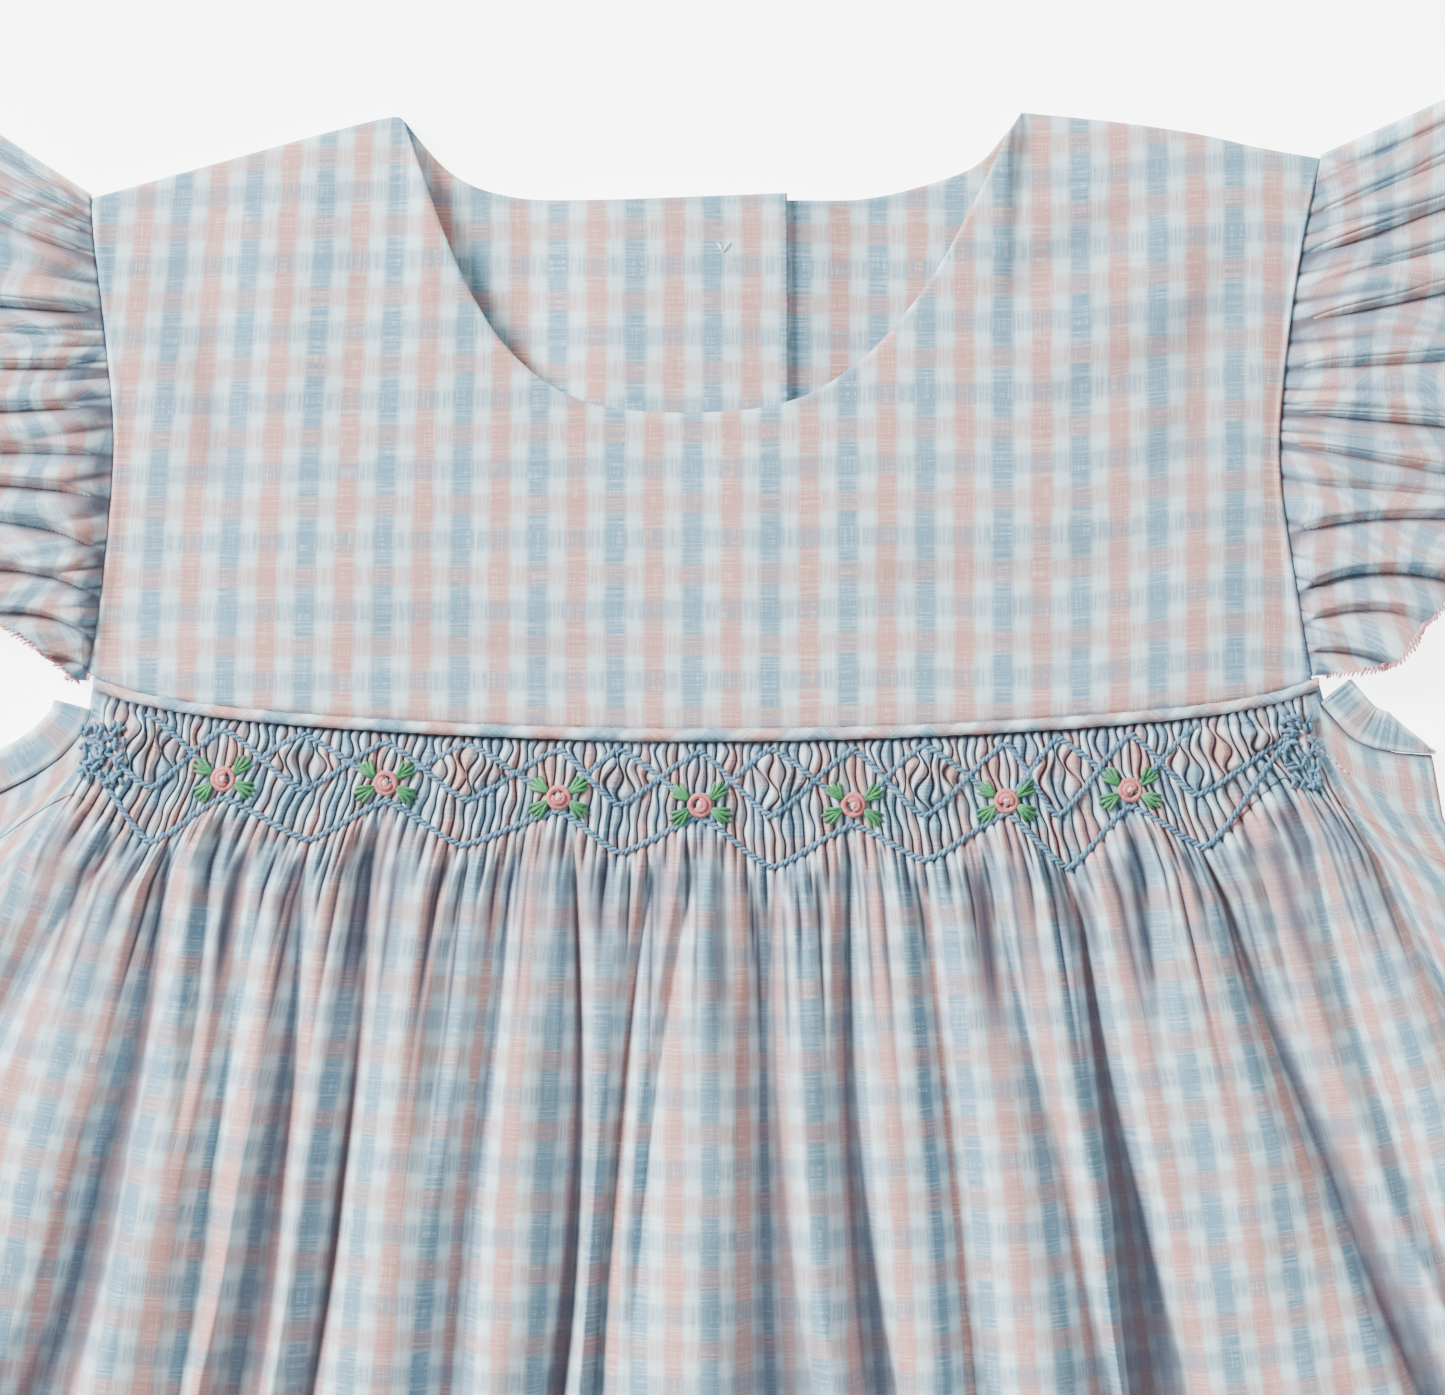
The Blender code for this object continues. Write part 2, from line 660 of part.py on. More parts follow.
def front_body(material):
    """Front of the body: a smocked band that opens into the folds of a full skirt."""
    valleys = read_valleys()
    outer = []
    inner = []
    inside_columns = with_plain_ends(skirt_columns(valleys, 0.0))
    fine = smocked_columns()
    count_before = len(PLAIN_COLUMNS)
    for number, drop in enumerate(BAND_ROWS):
        outer_row = []
        for index, share in enumerate(fine):
            x, y = band_point(share, drop)
            raised = pleat_height(index, count_before)
            pair = (index // 4 + number) % 2
            sway = PLEAT_SWAY * (2 * pair - 1) if raised and 0.0 < drop < 1.0 else 0.0
            z = FRONT_LOW + band_height(share, drop) + raised
            outer_row.append((x + sway, y, z))
        inner_row = []
        for share in inside_columns:
            x, y = band_point(share, drop)
            inner_row.append((x, y, BACK_TOP + SEAM_GAP + band_height(share, drop)))
        outer.append(outer_row)
        inner.append(inner_row)
    for drop in SKIRT_ROWS:
        outer_row = []
        inner_row = []
        for share in skirt_columns(valleys, drop):
            x, y = skirt_point(share, drop)
            height = skirt_height(valleys, share, drop)
            step = SLOPE_REACH / half_width(y)
            slope = (skirt_height(valleys, share + step, drop)
                     - skirt_height(valleys, share - step, drop)) / (2.0 * SLOPE_REACH)
            thick = upright_wall(slope)
            outer_row.append((x, y, FRONT_LOW + height))
            inner_row.append((x, y, max(FRONT_LOW + height - thick, BACK_TOP + SEAM_GAP)))
        outer.append(outer_row)
        inner.append(inner_row)
    wall("front_body", outer, inner, material)


def back_body(material):
    """Back of the body, flat on the surface, with the front's outline."""
    shares = [-1.0 + 2.0 * s for s in steps(BACK_COLUMNS)]
    outer = []
    inner = []
    for drop in BACK_BAND_ROWS:
        row = [band_point(share, drop) for share in shares]
        outer.append([(x, y, 0.0) for x, y in row])
        inner.append([(x, y, BACK_TOP) for x, y in row])
    for drop in BACK_SKIRT_ROWS:
        row = [skirt_point(share, drop) for share in shares]
        outer.append([(x, y, 0.0) for x, y in row])
        inner.append([(x, y, BACK_TOP) for x, y in row])
    wall("back_body", outer, inner, material)


# Sleeves


def sleeve_plan(sleeve, armhole, share, reach, side):
    """Place on a sleeve: share up its seam and hem, reach from seam to hem."""
    seam = along(armhole, share)
    hem = along(sleeve["hem"], share)
    bow = SLEEVE_BOW * math.sin(math.pi * reach)
    x = seam[0] + side * SEAM_GAP + (hem[0] - seam[0]) * (reach + bow)
    y = seam[1] + (hem[1] - seam[1]) * reach
    return x, y


def sleeve_height(sleeve, share, reach):
    """Height of the sleeve's gathers, low at the seam and full at the hem."""
    crest = SLEEVE_LIFT_SEAM + (SLEEVE_LIFT_HEM - SLEEVE_LIFT_SEAM) * reach
    crest *= 1.0 - clamp(2.0 * abs(share - 0.5)) ** SLEEVE_SIDE_POWER
    height = crest
    width = GATHER_SEAM_REACH + (GATHER_HEM_REACH - GATHER_SEAM_REACH) * reach
    for place, depth in gather_places(sleeve, reach):
        near = 1.0 - clamp(abs(share - place) / width)
        height *= 1.0 - depth * near * near
    return height


def gather_places(sleeve, reach):
    """Share and depth of each gather, which drifts up the sleeve as it leaves the seam."""
    gathers = [dict(zip(SLEEVE_COLUMNS, row)) for row in sleeve["gathers"]]
    gone = reach * (2.0 - reach)
    return [(gather["share"] + gather["drift"] * gone, gather["depth"]) for gather in gathers]


def sleeve_columns(sleeve, reach):
    """Shares of the columns: one in each gather's valley and two on each crest."""
    marks = [0.0] + [place for place, _ in gather_places(sleeve, reach)] + [1.0]
    columns = []
    for low, high in zip(marks, marks[1:]):
        columns.append(low)
        columns += [low + (high - low) * part for part in CREST_SHARES]
    return columns + [1.0]


def sleeve_thickness(sleeve, armhole, share, reach, side):
    """Upright thickness of the sleeve's wall, more on the steep sides of its gathers."""
    here = sleeve_height(sleeve, share, reach)
    low = sleeve_plan(sleeve, armhole, share - SHARE_STEP, reach, side)
    high = sleeve_plan(sleeve, armhole, share + SHARE_STEP, reach, side)
    run = max(math.hypot(high[0] - low[0], high[1] - low[1]) / 2, SLOPE_REACH)
    before = abs(here - sleeve_height(sleeve, share - SHARE_STEP, reach))
    after = abs(here - sleeve_height(sleeve, share + SHARE_STEP, reach))
    return upright_wall(max(before, after) / run)


def sleeve_panel(name, sleeve, armhole, side, material):
    """Flutter sleeve folded at the shoulder: its gathered front half over its flat back half."""
    outer = []
    inner = []
    back = list(reversed(steps(SLEEVE_BACK_STEPS)))
    for reach in SLEEVE_REACH_ROWS:
        outer_row = []
        inner_row = []
        for share in sleeve_columns(sleeve, reach):
            x, y = sleeve_plan(sleeve, armhole, share, reach, side)
            outer_row.append((x, y, FRONT_LOW + sleeve_height(sleeve, share, reach)))
            inset = share - FOLD_INSET * share ** FOLD_INSET_POWER
            x, y = sleeve_plan(sleeve, armhole, inset, reach, side)
            under = (FRONT_LOW + sleeve_height(sleeve, inset, reach)
                     - sleeve_thickness(sleeve, armhole, inset, reach, side))
            inner_row.append((x, y, max(under, BACK_TOP + SEAM_GAP)))
        tip = outer_row[-1]
        outer_row.append((tip[0], tip[1] + FOLD_BULGE, FRONT_LOW / 2))
        low = inner_row[-1]
        inner_row.append((low[0], low[1], BACK_TOP + SEAM_GAP / 2))
        for share in back:
            x, y = sleeve_plan(sleeve, armhole, share, reach, side)
            outer_row.append((x, y, 0.0))
            inset = share - FOLD_INSET * share ** FOLD_INSET_POWER
            x, y = sleeve_plan(sleeve, armhole, inset, reach, side)
            inner_row.append((x, y, BACK_TOP))
        outer.append(outer_row)
        inner.append(inner_row)
    wall(name, outer, inner, material)


# Bindings and bands


def ribbon_path(points, normals, front_heights, back_height):
    """Loop of a folded strip: along its front layer, round the end and back underneath."""
    path = []
    for point, normal, height in zip(points, normals, front_heights):
        path.append(((point[0], point[1], height), normal, (0.0, 0.0, 1.0)))
    return path, [((point[0], point[1], back_height), normal, (0.0, 0.0, -1.0))
                  for point, normal in zip(reversed(points), reversed(normals))]


def edge_normal(before, after, side):
    """Unit vector out of the cloth's edge, in the plane of the surface."""
    dx = after[0] - before[0]
    dy = after[1] - before[1]
    length = math.hypot(dx, dy)
    return (-dy / length * side, dx / length * side, 0.0)


def offset_points(edge, distance, side):
    """Edge points moved out of the cloth, with the directions that they moved in."""
    moved = []
    normals = []
    for index, point in enumerate(edge):
        before = edge[max(index - 1, 0)]
        after = edge[min(index + 1, len(edge) - 1)]
        normal = edge_normal(before, after, side)
        moved.append((point[0] + normal[0] * distance, point[1] + normal[1] * distance))
        normals.append(normal)
    return moved, normals


def end_turn(points, normals, high, low, outward):
    """Rounded end of a folded strip, where it passes from the front layer to the back."""
    tip = points[-1]
    before = points[-2]
    length = math.hypot(tip[0] - before[0], tip[1] - before[1])
    ahead = ((tip[0] - before[0]) / length * outward, (tip[1] - before[1]) / length * outward)
    middle = (high + low) / 2
    centre = (tip[0] + ahead[0], tip[1] + ahead[1], middle)
    return (centre, normals[-1], (ahead[0] / outward, ahead[1] / outward, 0.0))


def armhole_binding(name, side, material):
    """Bias binding round the foot of an armhole, from the front yoke under the arm to the back."""
    table = EDGE_LEFT if side < 0 else EDGE_RIGHT
    edge = [along(table, BINDING_START + (BINDING_END - BINDING_START) * share)
            for share in steps(BINDING_STEPS)]
    reach = BINDING_CLEARANCE + BINDING_WIDTH / 2
    points, normals = offset_points(edge, reach, side)
    low = BINDING_THICK / 2
    high = low + BINDING_THICK + 2 * SEAM_GAP
    heights = [high + BINDING_RISE * (1.0 - share) for share in steps(BINDING_STEPS)]
    front, back = ribbon_path(points, normals, heights, low)
    turn = end_turn(points, normals, high, low, STRIP_TURN)
    ribbon(name, front + [turn] + back, BINDING_WIDTH, BINDING_THICK, material)


def leg_band(name, side, material):
    """Elastic band round a leg opening, its gathered front over its back."""
    edge = []
    for share in steps(LEG_BAND_STEPS):
        place = 1.0 - (1.0 - CROTCH_SHARE) * share
        x, y = skirt_point(side * place, 1.0)
        edge.append((x, y))
    reach = SEAM_GAP + LEG_BAND_WIDTH / 2
    points, normals = offset_points(edge, reach, side)
    low = LEG_BAND_THICK / 2
    high = low + LEG_BAND_THICK + 2 * SEAM_GAP
    heights = [high + LEG_BAND_RISE * math.sin(math.pi * share) for share in steps(LEG_BAND_STEPS)]
    front, back = ribbon_path(points[:-1], normals[:-1], heights[:-1], low)
    turn = end_turn(points[:-1], normals[:-1], high, low, STRIP_TURN)
    start = end_turn(list(reversed(points)), list(reversed(normals)), high, low, STRIP_TURN)
    ribbon(name, front + [turn] + back + [start], LEG_BAND_WIDTH, LEG_BAND_THICK, material,
           closed=True)


def crotch_band(name, base, material):
    """Straight band that closes the crotch between the leg openings."""
    builder = bmesh.new()
    half = CROTCH_SHARE * half_width(SIDE_FOOT_Y) - CROTCH_BAND_CLEARANCE
    top = CROTCH_Y - SEAM_GAP
    bmesh.ops.create_cube(builder, size=1.0)
    for vertex in builder.verts:
        vertex.co.x *= 2.0 * half
        vertex.co.y = top + (vertex.co.y - 0.5) * CROTCH_BAND_DEPTH
        vertex.co.z = base + (vertex.co.z + 0.5) * CROTCH_BAND_THICK
    bmesh.ops.bevel(builder, geom=list(builder.edges), offset=CROTCH_BAND_BEVEL, segments=2,
                    affect="EDGES", profile=0.5)
    add_object(name, builder, material)


def build():
    """Make every piece of the romper."""
    clear_scene()
    cloth = make_material("checked cotton", CHECK_GREEN_WHITE, 0.9)
    bias = make_material("bias piping", PIPING_BLUE, 0.9)
    shell = make_material("button shell", BUTTON_WHITE, 0.35)
    front_yoke(cloth)
    back_yoke("back_yoke_left", list(reversed(NECK_BACK_LEFT)), list(reversed(SHOULDER_LEFT)), -1,
              LAP_LEFT_EDGE, LAP_LEFT_LIFT, LAP_LEFT_RAMP, cloth)
    back_yoke("back_yoke_right", NECK_BACK_RIGHT, SHOULDER_RIGHT, 1, LAP_RIGHT_EDGE,
              LAP_RIGHT_LIFT, LAP_RIGHT_RAMP, cloth)
    buttons(shell)
    piping(bias)
    front_body(cloth)
    back_body(cloth)
    sleeve_panel("sleeve_left", SLEEVE_LEFT, ARMHOLE_LEFT, -1, cloth)
    sleeve_panel("sleeve_right", SLEEVE_RIGHT, ARMHOLE_RIGHT, 1, cloth)
    for label, side in (("left", -1), ("right", 1)):
        armhole_binding(f"armhole_binding_{label}", side, cloth)
        leg_band(f"leg_band_{label}", side, cloth)
    crotch_band("crotch_band_back", 0.0, cloth)
    crotch_band("crotch_band_front", CROTCH_BAND_THICK + SEAM_GAP, cloth)


build()
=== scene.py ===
import math

import bmesh
import bpy
import numpy as np
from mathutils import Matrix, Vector
from mathutils.bvhtree import BVHTree


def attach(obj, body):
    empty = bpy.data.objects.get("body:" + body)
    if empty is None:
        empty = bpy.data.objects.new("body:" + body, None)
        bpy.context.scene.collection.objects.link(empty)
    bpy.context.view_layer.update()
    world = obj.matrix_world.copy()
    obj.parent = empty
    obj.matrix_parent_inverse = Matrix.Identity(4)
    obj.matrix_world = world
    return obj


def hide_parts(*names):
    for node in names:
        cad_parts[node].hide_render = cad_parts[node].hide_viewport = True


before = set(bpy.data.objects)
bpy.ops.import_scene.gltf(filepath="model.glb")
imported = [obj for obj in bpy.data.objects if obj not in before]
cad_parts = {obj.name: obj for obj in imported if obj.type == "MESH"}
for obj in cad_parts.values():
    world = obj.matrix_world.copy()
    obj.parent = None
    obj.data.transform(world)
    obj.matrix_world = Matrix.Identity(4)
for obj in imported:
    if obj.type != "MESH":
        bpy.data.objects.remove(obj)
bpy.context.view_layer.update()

MM = 0.001

# Levels of the layers, in millimetres above the surface
WALL = 1.2
SEAM_GAP = 0.3
BACK_TOP = WALL
FRONT_LOW = BACK_TOP + SEAM_GAP + WALL
COTTON = 0.35
SEAM_CLOSED = 0.05

# Yoke
SHOULDER_LEFT = ((-111.0, 190.4), (-88.4, 196.7), (-73.0, 201.0), (-57.8, 204.9), (-54.6, 204.6))
SHOULDER_RIGHT = ((56.9, 205.9), (74.5, 204.1), (88.9, 202.0), (99.7, 199.6), (110.9, 197.6))
NECK_FRONT = ((-54.6, 204.6), (-49.7, 190.8), (-44.3, 177.3), (-37.0, 164.7), (-28.0, 156.6),
              (-18.0, 152.6), (-1.0, 151.6), (16.0, 153.9), (29.5, 162.5), (40.3, 175.5),
              (47.5, 188.1), (53.8, 200.7), (56.9, 205.9))
NECK_BACK_LEFT = ((-54.6, 204.6), (-46.0, 195.0), (-35.3, 190.8), (-20.0, 190.0), (-1.0, 190.6),
                  (14.6, 191.2))
NECK_BACK_RIGHT = ((-6.0, 190.0), (15.0, 190.0), (27.7, 190.3), (38.0, 192.4), (48.4, 196.2),
                   (54.0, 202.0), (56.9, 205.9))
ARMHOLE_LEFT = ((-112.0, 103.4), (-109.4, 118.0), (-107.0, 145.0), (-108.5, 165.0),
                (-110.5, 182.0), (-111.0, 190.4))
ARMHOLE_RIGHT = ((109.4, 104.2), (107.0, 118.0), (103.7, 141.0), (104.4, 158.0),
                 (107.0, 178.0), (110.9, 197.6))
YOKE_CROWN = 3.8
YOKE_LENGTH = 110.0
YOKE_HALF_WIDTH = 111.0
YOKE_TROUGH = 1.9
YOKE_SHADE = 0.32
NECK_SHARE = 0.5
LAP_LEFT_EDGE = 15.3
LAP_RIGHT_EDGE = -6.0
LAP_RIGHT_LIFT = 2.1
LAP_LEFT_LIFT = LAP_RIGHT_LIFT + WALL + SEAM_GAP

# Buttons of the back opening
BUTTON_RADIUS = 5.5
BUTTON_THICK = 1.8
BUTTON_X = 2.9
BUTTONS = (("button_top", 181.4), ("button_middle", 150.0), ("button_lower", 118.0))
BUTTON_PROFILE = ((0.0, 0.55), (0.5, 0.55), (0.62, 0.3), (0.8, 0.12), (0.93, 0.1), (1.0, 0.45),
                  (0.98, 0.85), (0.9, 1.0), (0.0, 1.0))

# Piping in the seam between yoke and body
PIPING_RADIUS = 1.1
PIPING_END = 110.5
PIPING_CENTRE_Y = 93.6
PIPING_BOW = 5.2
PIPING_END_LIFT = 3.0
SEAM_CLEARANCE = PIPING_RADIUS + SEAM_CLOSED

# Body
UNDERARM = (131.0, 79.5)
EDGE_LEFT = ((-110.5, 98.6), (-112.0, 94.6), (-116.0, 90.0), (-121.0, 86.4), (-127.0, 83.4),
             (-131.0, 82.0))
EDGE_RIGHT = ((110.5, 99.6), (112.5, 97.2), (116.3, 93.2), (120.4, 91.2), (125.0, 90.4),
              (131.0, 90.0))
SIDE_WIDTHS = ((79.5, 131.0), (73.5, 133.0), (68.0, 139.0), (60.0, 146.0), (21.0, 166.0),
               (-24.0, 182.0), (-60.0, 189.0), (-95.0, 190.0), (-125.0, 184.0))
SIDE_FOOT_Y = -125.0
BAND_SIDE_Y = 68.0
CROTCH_Y = -204.0
CROTCH_SHARE = 0.22
CREST_HEIGHTS = ((0.0, 2.4), (0.06, 4.5), (0.16, 7.5), (0.35, 10.5), (0.6, 12.0), (0.85, 9.0),
                 (1.0, 1.8))
BAND_CREST = 1.9

# Smocked band
PLEATS = 130
PLEAT_HEIGHT = 1.5
FINE_FADE = 5.0
GATHERED_LENGTH = 26.0
# Gathers below the threads: pleats in each, distance of its peak below the threads, size,
# bend and phase
GATHERS = (
    (1, 0.0, PLEAT_HEIGHT, 0.0, 0.4),
    (2, 4.0, 1.5, 0.5, 1.1),
    (4, 9.0, 1.5, 1.2, 2.3),
    (7, 17.0, 1.0, 1.8, 0.7),
)
SMOCKED_END = 109.0
SMOCKED_SHARE = SMOCKED_END / UNDERARM[0]
SMOCKED_FADE = 60.0
COLUMNS_A_PLEAT = 6
LOWER_WAVE = ((-139.0, 68.0), (-114.0, 83.0), (-100.0, 74.2), (-86.8, 82.3), (-71.6, 74.7),
              (-57.6, 81.7), (-43.9, 73.8), (-26.5, 79.9), (-15.5, 72.4), (-1.1, 78.8),
              (11.7, 69.8), (26.5, 77.4), (39.4, 71.1), (54.0, 79.4), (65.0, 69.7),
              (76.3, 80.8), (89.8, 73.4), (104.0, 86.0), (139.0, 68.0))

# Valleys between the folds of the skirt. The x columns are read at three levels.
VALLEY_LEVELS = (66.0, 21.0, -24.0)
VALLEY_COLUMNS = ("x_top", "x_mid", "x_low", "left", "right", "floor", "depth", "soft", "last")
VALLEYS = (
    (-112.0, -139.0, -158.0, 9.0, 5.0, 6.0, 0.75, 0.3, 1.0),
    (-98.0, -106.0, -119.0, 6.0, 5.0, 9.0, 0.95, 0.2, 0.85),
    (-89.5, -94.5, -100.0, 3.0, 3.0, 0.0, 0.6, 0.6, 0.18),
    (-82.5, -88.0, -94.5, 5.0, 5.0, 0.0, 0.5, 1.0, 0.9),
    (-72.5, -77.0, -84.5, 4.0, 3.0, 8.0, 0.85, 0.2, 0.7),
    (-60.5, -64.6, -71.3, 7.0, 3.0, 1.0, 0.9, 0.0, 1.0),
    (-45.0, -49.5, -54.0, 4.0, 4.0, 0.0, 0.45, 1.0, 0.16),
    (-35.3, -41.0, -46.0, 6.0, 4.0, 3.0, 0.8, 0.4, 0.85),
    (-23.6, -23.0, -27.0, 4.0, 3.0, 2.5, 1.0, 0.1, 1.0),
    (-10.4, -16.0, -19.4, 3.5, 3.0, 0.0, 0.8, 0.2, 0.8),
    (-2.9, -9.9, -12.5, 3.0, 3.0, 0.0, 0.45, 1.0, 0.3),
    (12.4, 11.5, 14.0, 5.0, 4.0, 9.5, 0.95, 0.3, 0.95),
    (25.6, 26.5, 31.5, 3.5, 3.0, 5.0, 0.9, 0.1, 0.7),
    (39.5, 44.0, 48.5, 4.5, 5.5, 3.0, 0.7, 0.8, 0.95),
    (52.0, 62.5, 71.5, 4.5, 3.0, 2.0, 0.7, 0.4, 0.8),
    (66.0, 73.5, 81.0, 3.0, 3.5, 9.5, 1.0, 0.1, 1.0),
    (79.5, 84.5, 90.0, 3.0, 3.0, 0.0, 0.5, 0.8, 0.14),
    (92.5, 111.0, 131.0, 3.0, 5.0, 4.5, 1.0, 0.1, 1.0),
    (100.6, 115.5, 136.0, 2.6, 3.0, 0.0, 0.7, 0.3, 0.16),
    (111.0, 124.0, 146.0, 5.0, 5.0, 2.0, 0.5, 1.0, 0.9),
    (124.0, 148.0, 166.0, 6.0, 6.0, 4.0, 0.55, 0.8, 1.0),
)
LONG_VALLEY = 0.5
FOLD_ROUND = 0.4
LEAST_STEP = 0.0035
# Flank left of each valley, lowered and given painted shade since the light from the left leaves it
# in shade
FLANK_REACH = 2.8
FLANK_SHADE = 0.36

# Flutter sleeves
# A sleeve's shade is painted shade below each gather, stronger on the right sleeve, which lies more
# in shade
SLEEVE_COLUMNS = ("share", "drift", "depth")
SLEEVE_LEFT = {
    "shade": 0.2,
    "hem": ((-113.4, 103.5), (-127.0, 113.6), (-150.0, 124.0), (-167.0, 146.0), (-173.0, 174.0),
            (-170.0, 204.0), (-160.0, 228.0)),
    "gathers": ((0.05, 0.03, 0.7), (0.12, 0.08, 0.8), (0.20, 0.10, 0.9), (0.265, 0.12, 0.9),
                (0.33, 0.10, 1.0), (0.39, 0.08, 0.8), (0.47, 0.05, 0.9), (0.54, 0.05, 0.8),
                (0.60, 0.04, 0.5), (0.65, 0.03, 1.0), (0.765, 0.10, 0.9), (0.83, 0.09, 0.7),
                (0.89, 0.06, 0.8), (0.95, 0.02, 0.6)),
}
SLEEVE_RIGHT = {
    "shade": 0.75,
    "hem": ((112.2, 104.5), (124.0, 106.7), (133.0, 117.0), (158.0, 132.0), (173.0, 152.0),
            (177.0, 178.0), (175.0, 204.0), (166.0, 226.0)),
    "gathers": ((0.08, 0.05, 0.8), (0.15, 0.10, 0.7), (0.21, 0.11, 1.0), (0.30, 0.11, 0.9),
                (0.38, 0.05, 0.5), (0.46, -0.01, 0.8), (0.53, 0.0, 1.0), (0.62, 0.02, 0.7),
                (0.70, 0.05, 1.0), (0.76, 0.05, 0.5), (0.82, 0.05, 1.0), (0.885, 0.04, 0.7),
                (0.94, 0.03, 0.6)),
}
SLEEVE_LIFT_SEAM = 2.8
SLEEVE_LIFT_HEM = 8.0
GATHER_SEAM_REACH = 0.03
GATHER_HEM_REACH = 0.05
FOLD_BULGE = 0.8
SLEEVE_TUCKS = 74.0
TUCK_HEIGHT = 2.0
SLEEVE_INSET = 0.99

# Bindings and bands
BINDING_WIDTH = 7.0
BINDING_THICK = 1.4
BINDING_CLEARANCE = 0.1
BINDING_START = 0.04
BINDING_END = 0.97
BINDING_TIPS = {"left": 0.15, "right": 0.36}
STRIP_TIP = 0.7
STRIP_BACK = 1.6
STRIP_SECTION = 14
LEG_BAND_WIDTH = 8.0
LEG_BAND_THICK = 1.6
LEG_BAND_RISE = 1.5

# Flowers of the smocking, and the lowest points of the threads between them
FLOWERS = ((-86.8, 85.7), (-57.6, 85.0), (-26.5, 82.4), (-1.1, 81.0), (26.5, 81.0), (54.0, 81.7),
           (76.3, 83.7))
POINTS_BETWEEN = ((-100.0, 84.1), (-72.5, 83.7), (-43.0, 81.9), (-15.7, 81.0), (11.7, 79.0),
                  (39.2, 79.0), (63.2, 79.0), (88.2, 82.8))
THREAD_BELOW_SEAM = 1.9
THREAD_STRAIGHT = 0.65
THREAD_LIFT = 0.12

# Rows of stitches: sizes in millimetres, slant in radians, unevenness as a share
SMOCKING_ROPE = {"Spacing": 1.0, "Length": 2.0, "Width": 0.82, "Slant": 0.5, "Uneven": 0.16}
HEM_ROPE = {"Spacing": 0.85, "Length": 1.7, "Width": 0.55, "Slant": 1.1, "Uneven": 0.3}

# Knotted thread ends: left, right, low, high and number of stitches
THREAD_ENDS = ((-113.0, -104.5, 85.0, 95.5, 64), (104.0, 110.5, 84.0, 98.0, 50))

# Arcs of a rose: start, sweep, radius and height over the cloth
ROSE_ARCS = ((0.2, 3.0, 1.75, 0.35), (2.4, 2.9, 1.8, 0.30), (4.4, 2.8, 1.75, 0.38),
             (1.0, 4.3, 0.95, 0.75))

# Leaves on one side of a rose: heading, height of the root and length
LEAVES = ((0.72, 0.9, 4.1), (-0.62, -0.7, 4.3))
LEAF_FAN = (-0.42, -0.14, 0.15, 0.44)

# Check of the cloth: distance from one blue stripe to the next, widths and soft edge of the
# stripes, and spacing and grain of the yarns
CHECK_ACROSS = 13.95
CHECK_DOWN = 12.8
STRIPE_ACROSS = 3.9
STRIPE_DOWN = 3.6
STRIPE_EDGE = 1.1
YARN_PITCH = 0.55
YARN_FINE = 2.6
YARN_LONG = 0.12
CLOTH_ACROSS = 230.0

# Photograph's frame, which the camera matches
PHOTO_WIDTH = 1445
PHOTO_HEIGHT = 1395
MM_PER_PIXEL = 0.18
CENTRE_LINE_PIXEL = 706
ORIGIN_ROW_PIXEL = 1255
LENS = 150.0
SENSOR = 36.0
EYE_LEVEL = 5.0

# Lights: name, place and size in metres, and power in watts
LIGHTS = (
    ("window light", (-1.5, 1.1, 1.1), 0.8, 180.0),
    ("overhead light", (0.1, 0.1, 2.2), 2.2, 22.0),
    ("fill light", (1.2, -0.6, 1.4), 1.6, 5.0),
)
LIGHT_AIM = Vector((0.0, 0.08, 0.0))
WORLD_STRENGTH = 0.3
TABLE_HALF_WIDTH = 3.0
TABLE_LEVEL = -0.0002


# Curves and tables


def ease(value):
    """Smooth step from 0 to 1."""
    held = np.clip(value, 0.0, 1.0)
    return held * held * (3.0 - 2.0 * held)


def level(table, value):
    """Read a two-column table at a value, with straight lines between rows."""
    rows = np.array(sorted(table))
    return np.interp(value, rows[:, 0], rows[:, 1])


def swing(table, value, straight=0.0):
    """Read crests and troughs with half waves between them, or part way to straight lines."""
    rows = np.array(table)
    value = np.asarray(value, dtype=float)
    index = np.clip(np.searchsorted(rows[:, 0], value) - 1, 0, len(rows) - 2)
    low = rows[index]
    high = rows[index + 1]
    turn = np.clip((value - low[..., 0]) / (high[..., 0] - low[..., 0]), 0.0, 1.0)
    wave = 0.5 * (1.0 - np.cos(np.pi * turn))
    return low[..., 1] + (high[..., 1] - low[..., 1]) * (wave + (turn - wave) * straight)


def along(points, share):
    """Points at shares of the way through a smooth curve."""
    points = np.array(points)
    place = np.clip(share, 0.0, 1.0) * (len(points) - 1)
    index = np.minimum(place.astype(int), len(points) - 2)
    t = (place - index)[..., None]
    p0 = points[np.maximum(index - 1, 0)]
    p1 = points[index]
    p2 = points[index + 1]
    p3 = points[np.minimum(index + 2, len(points) - 1)]
    bend = 2 * p0 - 5 * p1 + 4 * p2 - p3
    turn = 3 * p1 - p0 - 3 * p2 + p3
    return 0.5 * (2 * p1 + (p2 - p0) * t + bend * t * t + turn * t ** 3)


def stacked(*parts):
    """Points from their coordinates, spread to one grid."""
    return np.stack(np.broadcast_arrays(*parts), axis=-1)


def ripple(x, y, seed, grain):
    """Soft uneven variation between -1 and 1 over a plane, from a few fixed waves."""
    rng = np.random.default_rng(seed)
    total = np.zeros(np.broadcast(x, y).shape)
    waves = 7
    for _ in range(waves):
        heading = rng.uniform(0, 2 * math.pi)
        length = grain * rng.uniform(0.7, 1.8)
        phase = rng.uniform(0, 2 * math.pi)
        total += np.sin((x * math.cos(heading) + y * math.sin(heading)) * 2 * math.pi / length
                        + phase)
    return total / waves ** 0.5


# Shader building


def add_node(tree, kind, settings, inputs):
    """Node of a kind, with its settings and then its inputs, given by place or by name."""
    made = tree.nodes.new(kind)
    for name, value in (settings or {}).items():
        setattr(made, name, value)
    for key, value in (inputs or {}).items():
        if isinstance(value, bpy.types.NodeSocket):
            tree.links.new(value, made.inputs[key])
        else:
            made.inputs[key].default_value = value
    return made


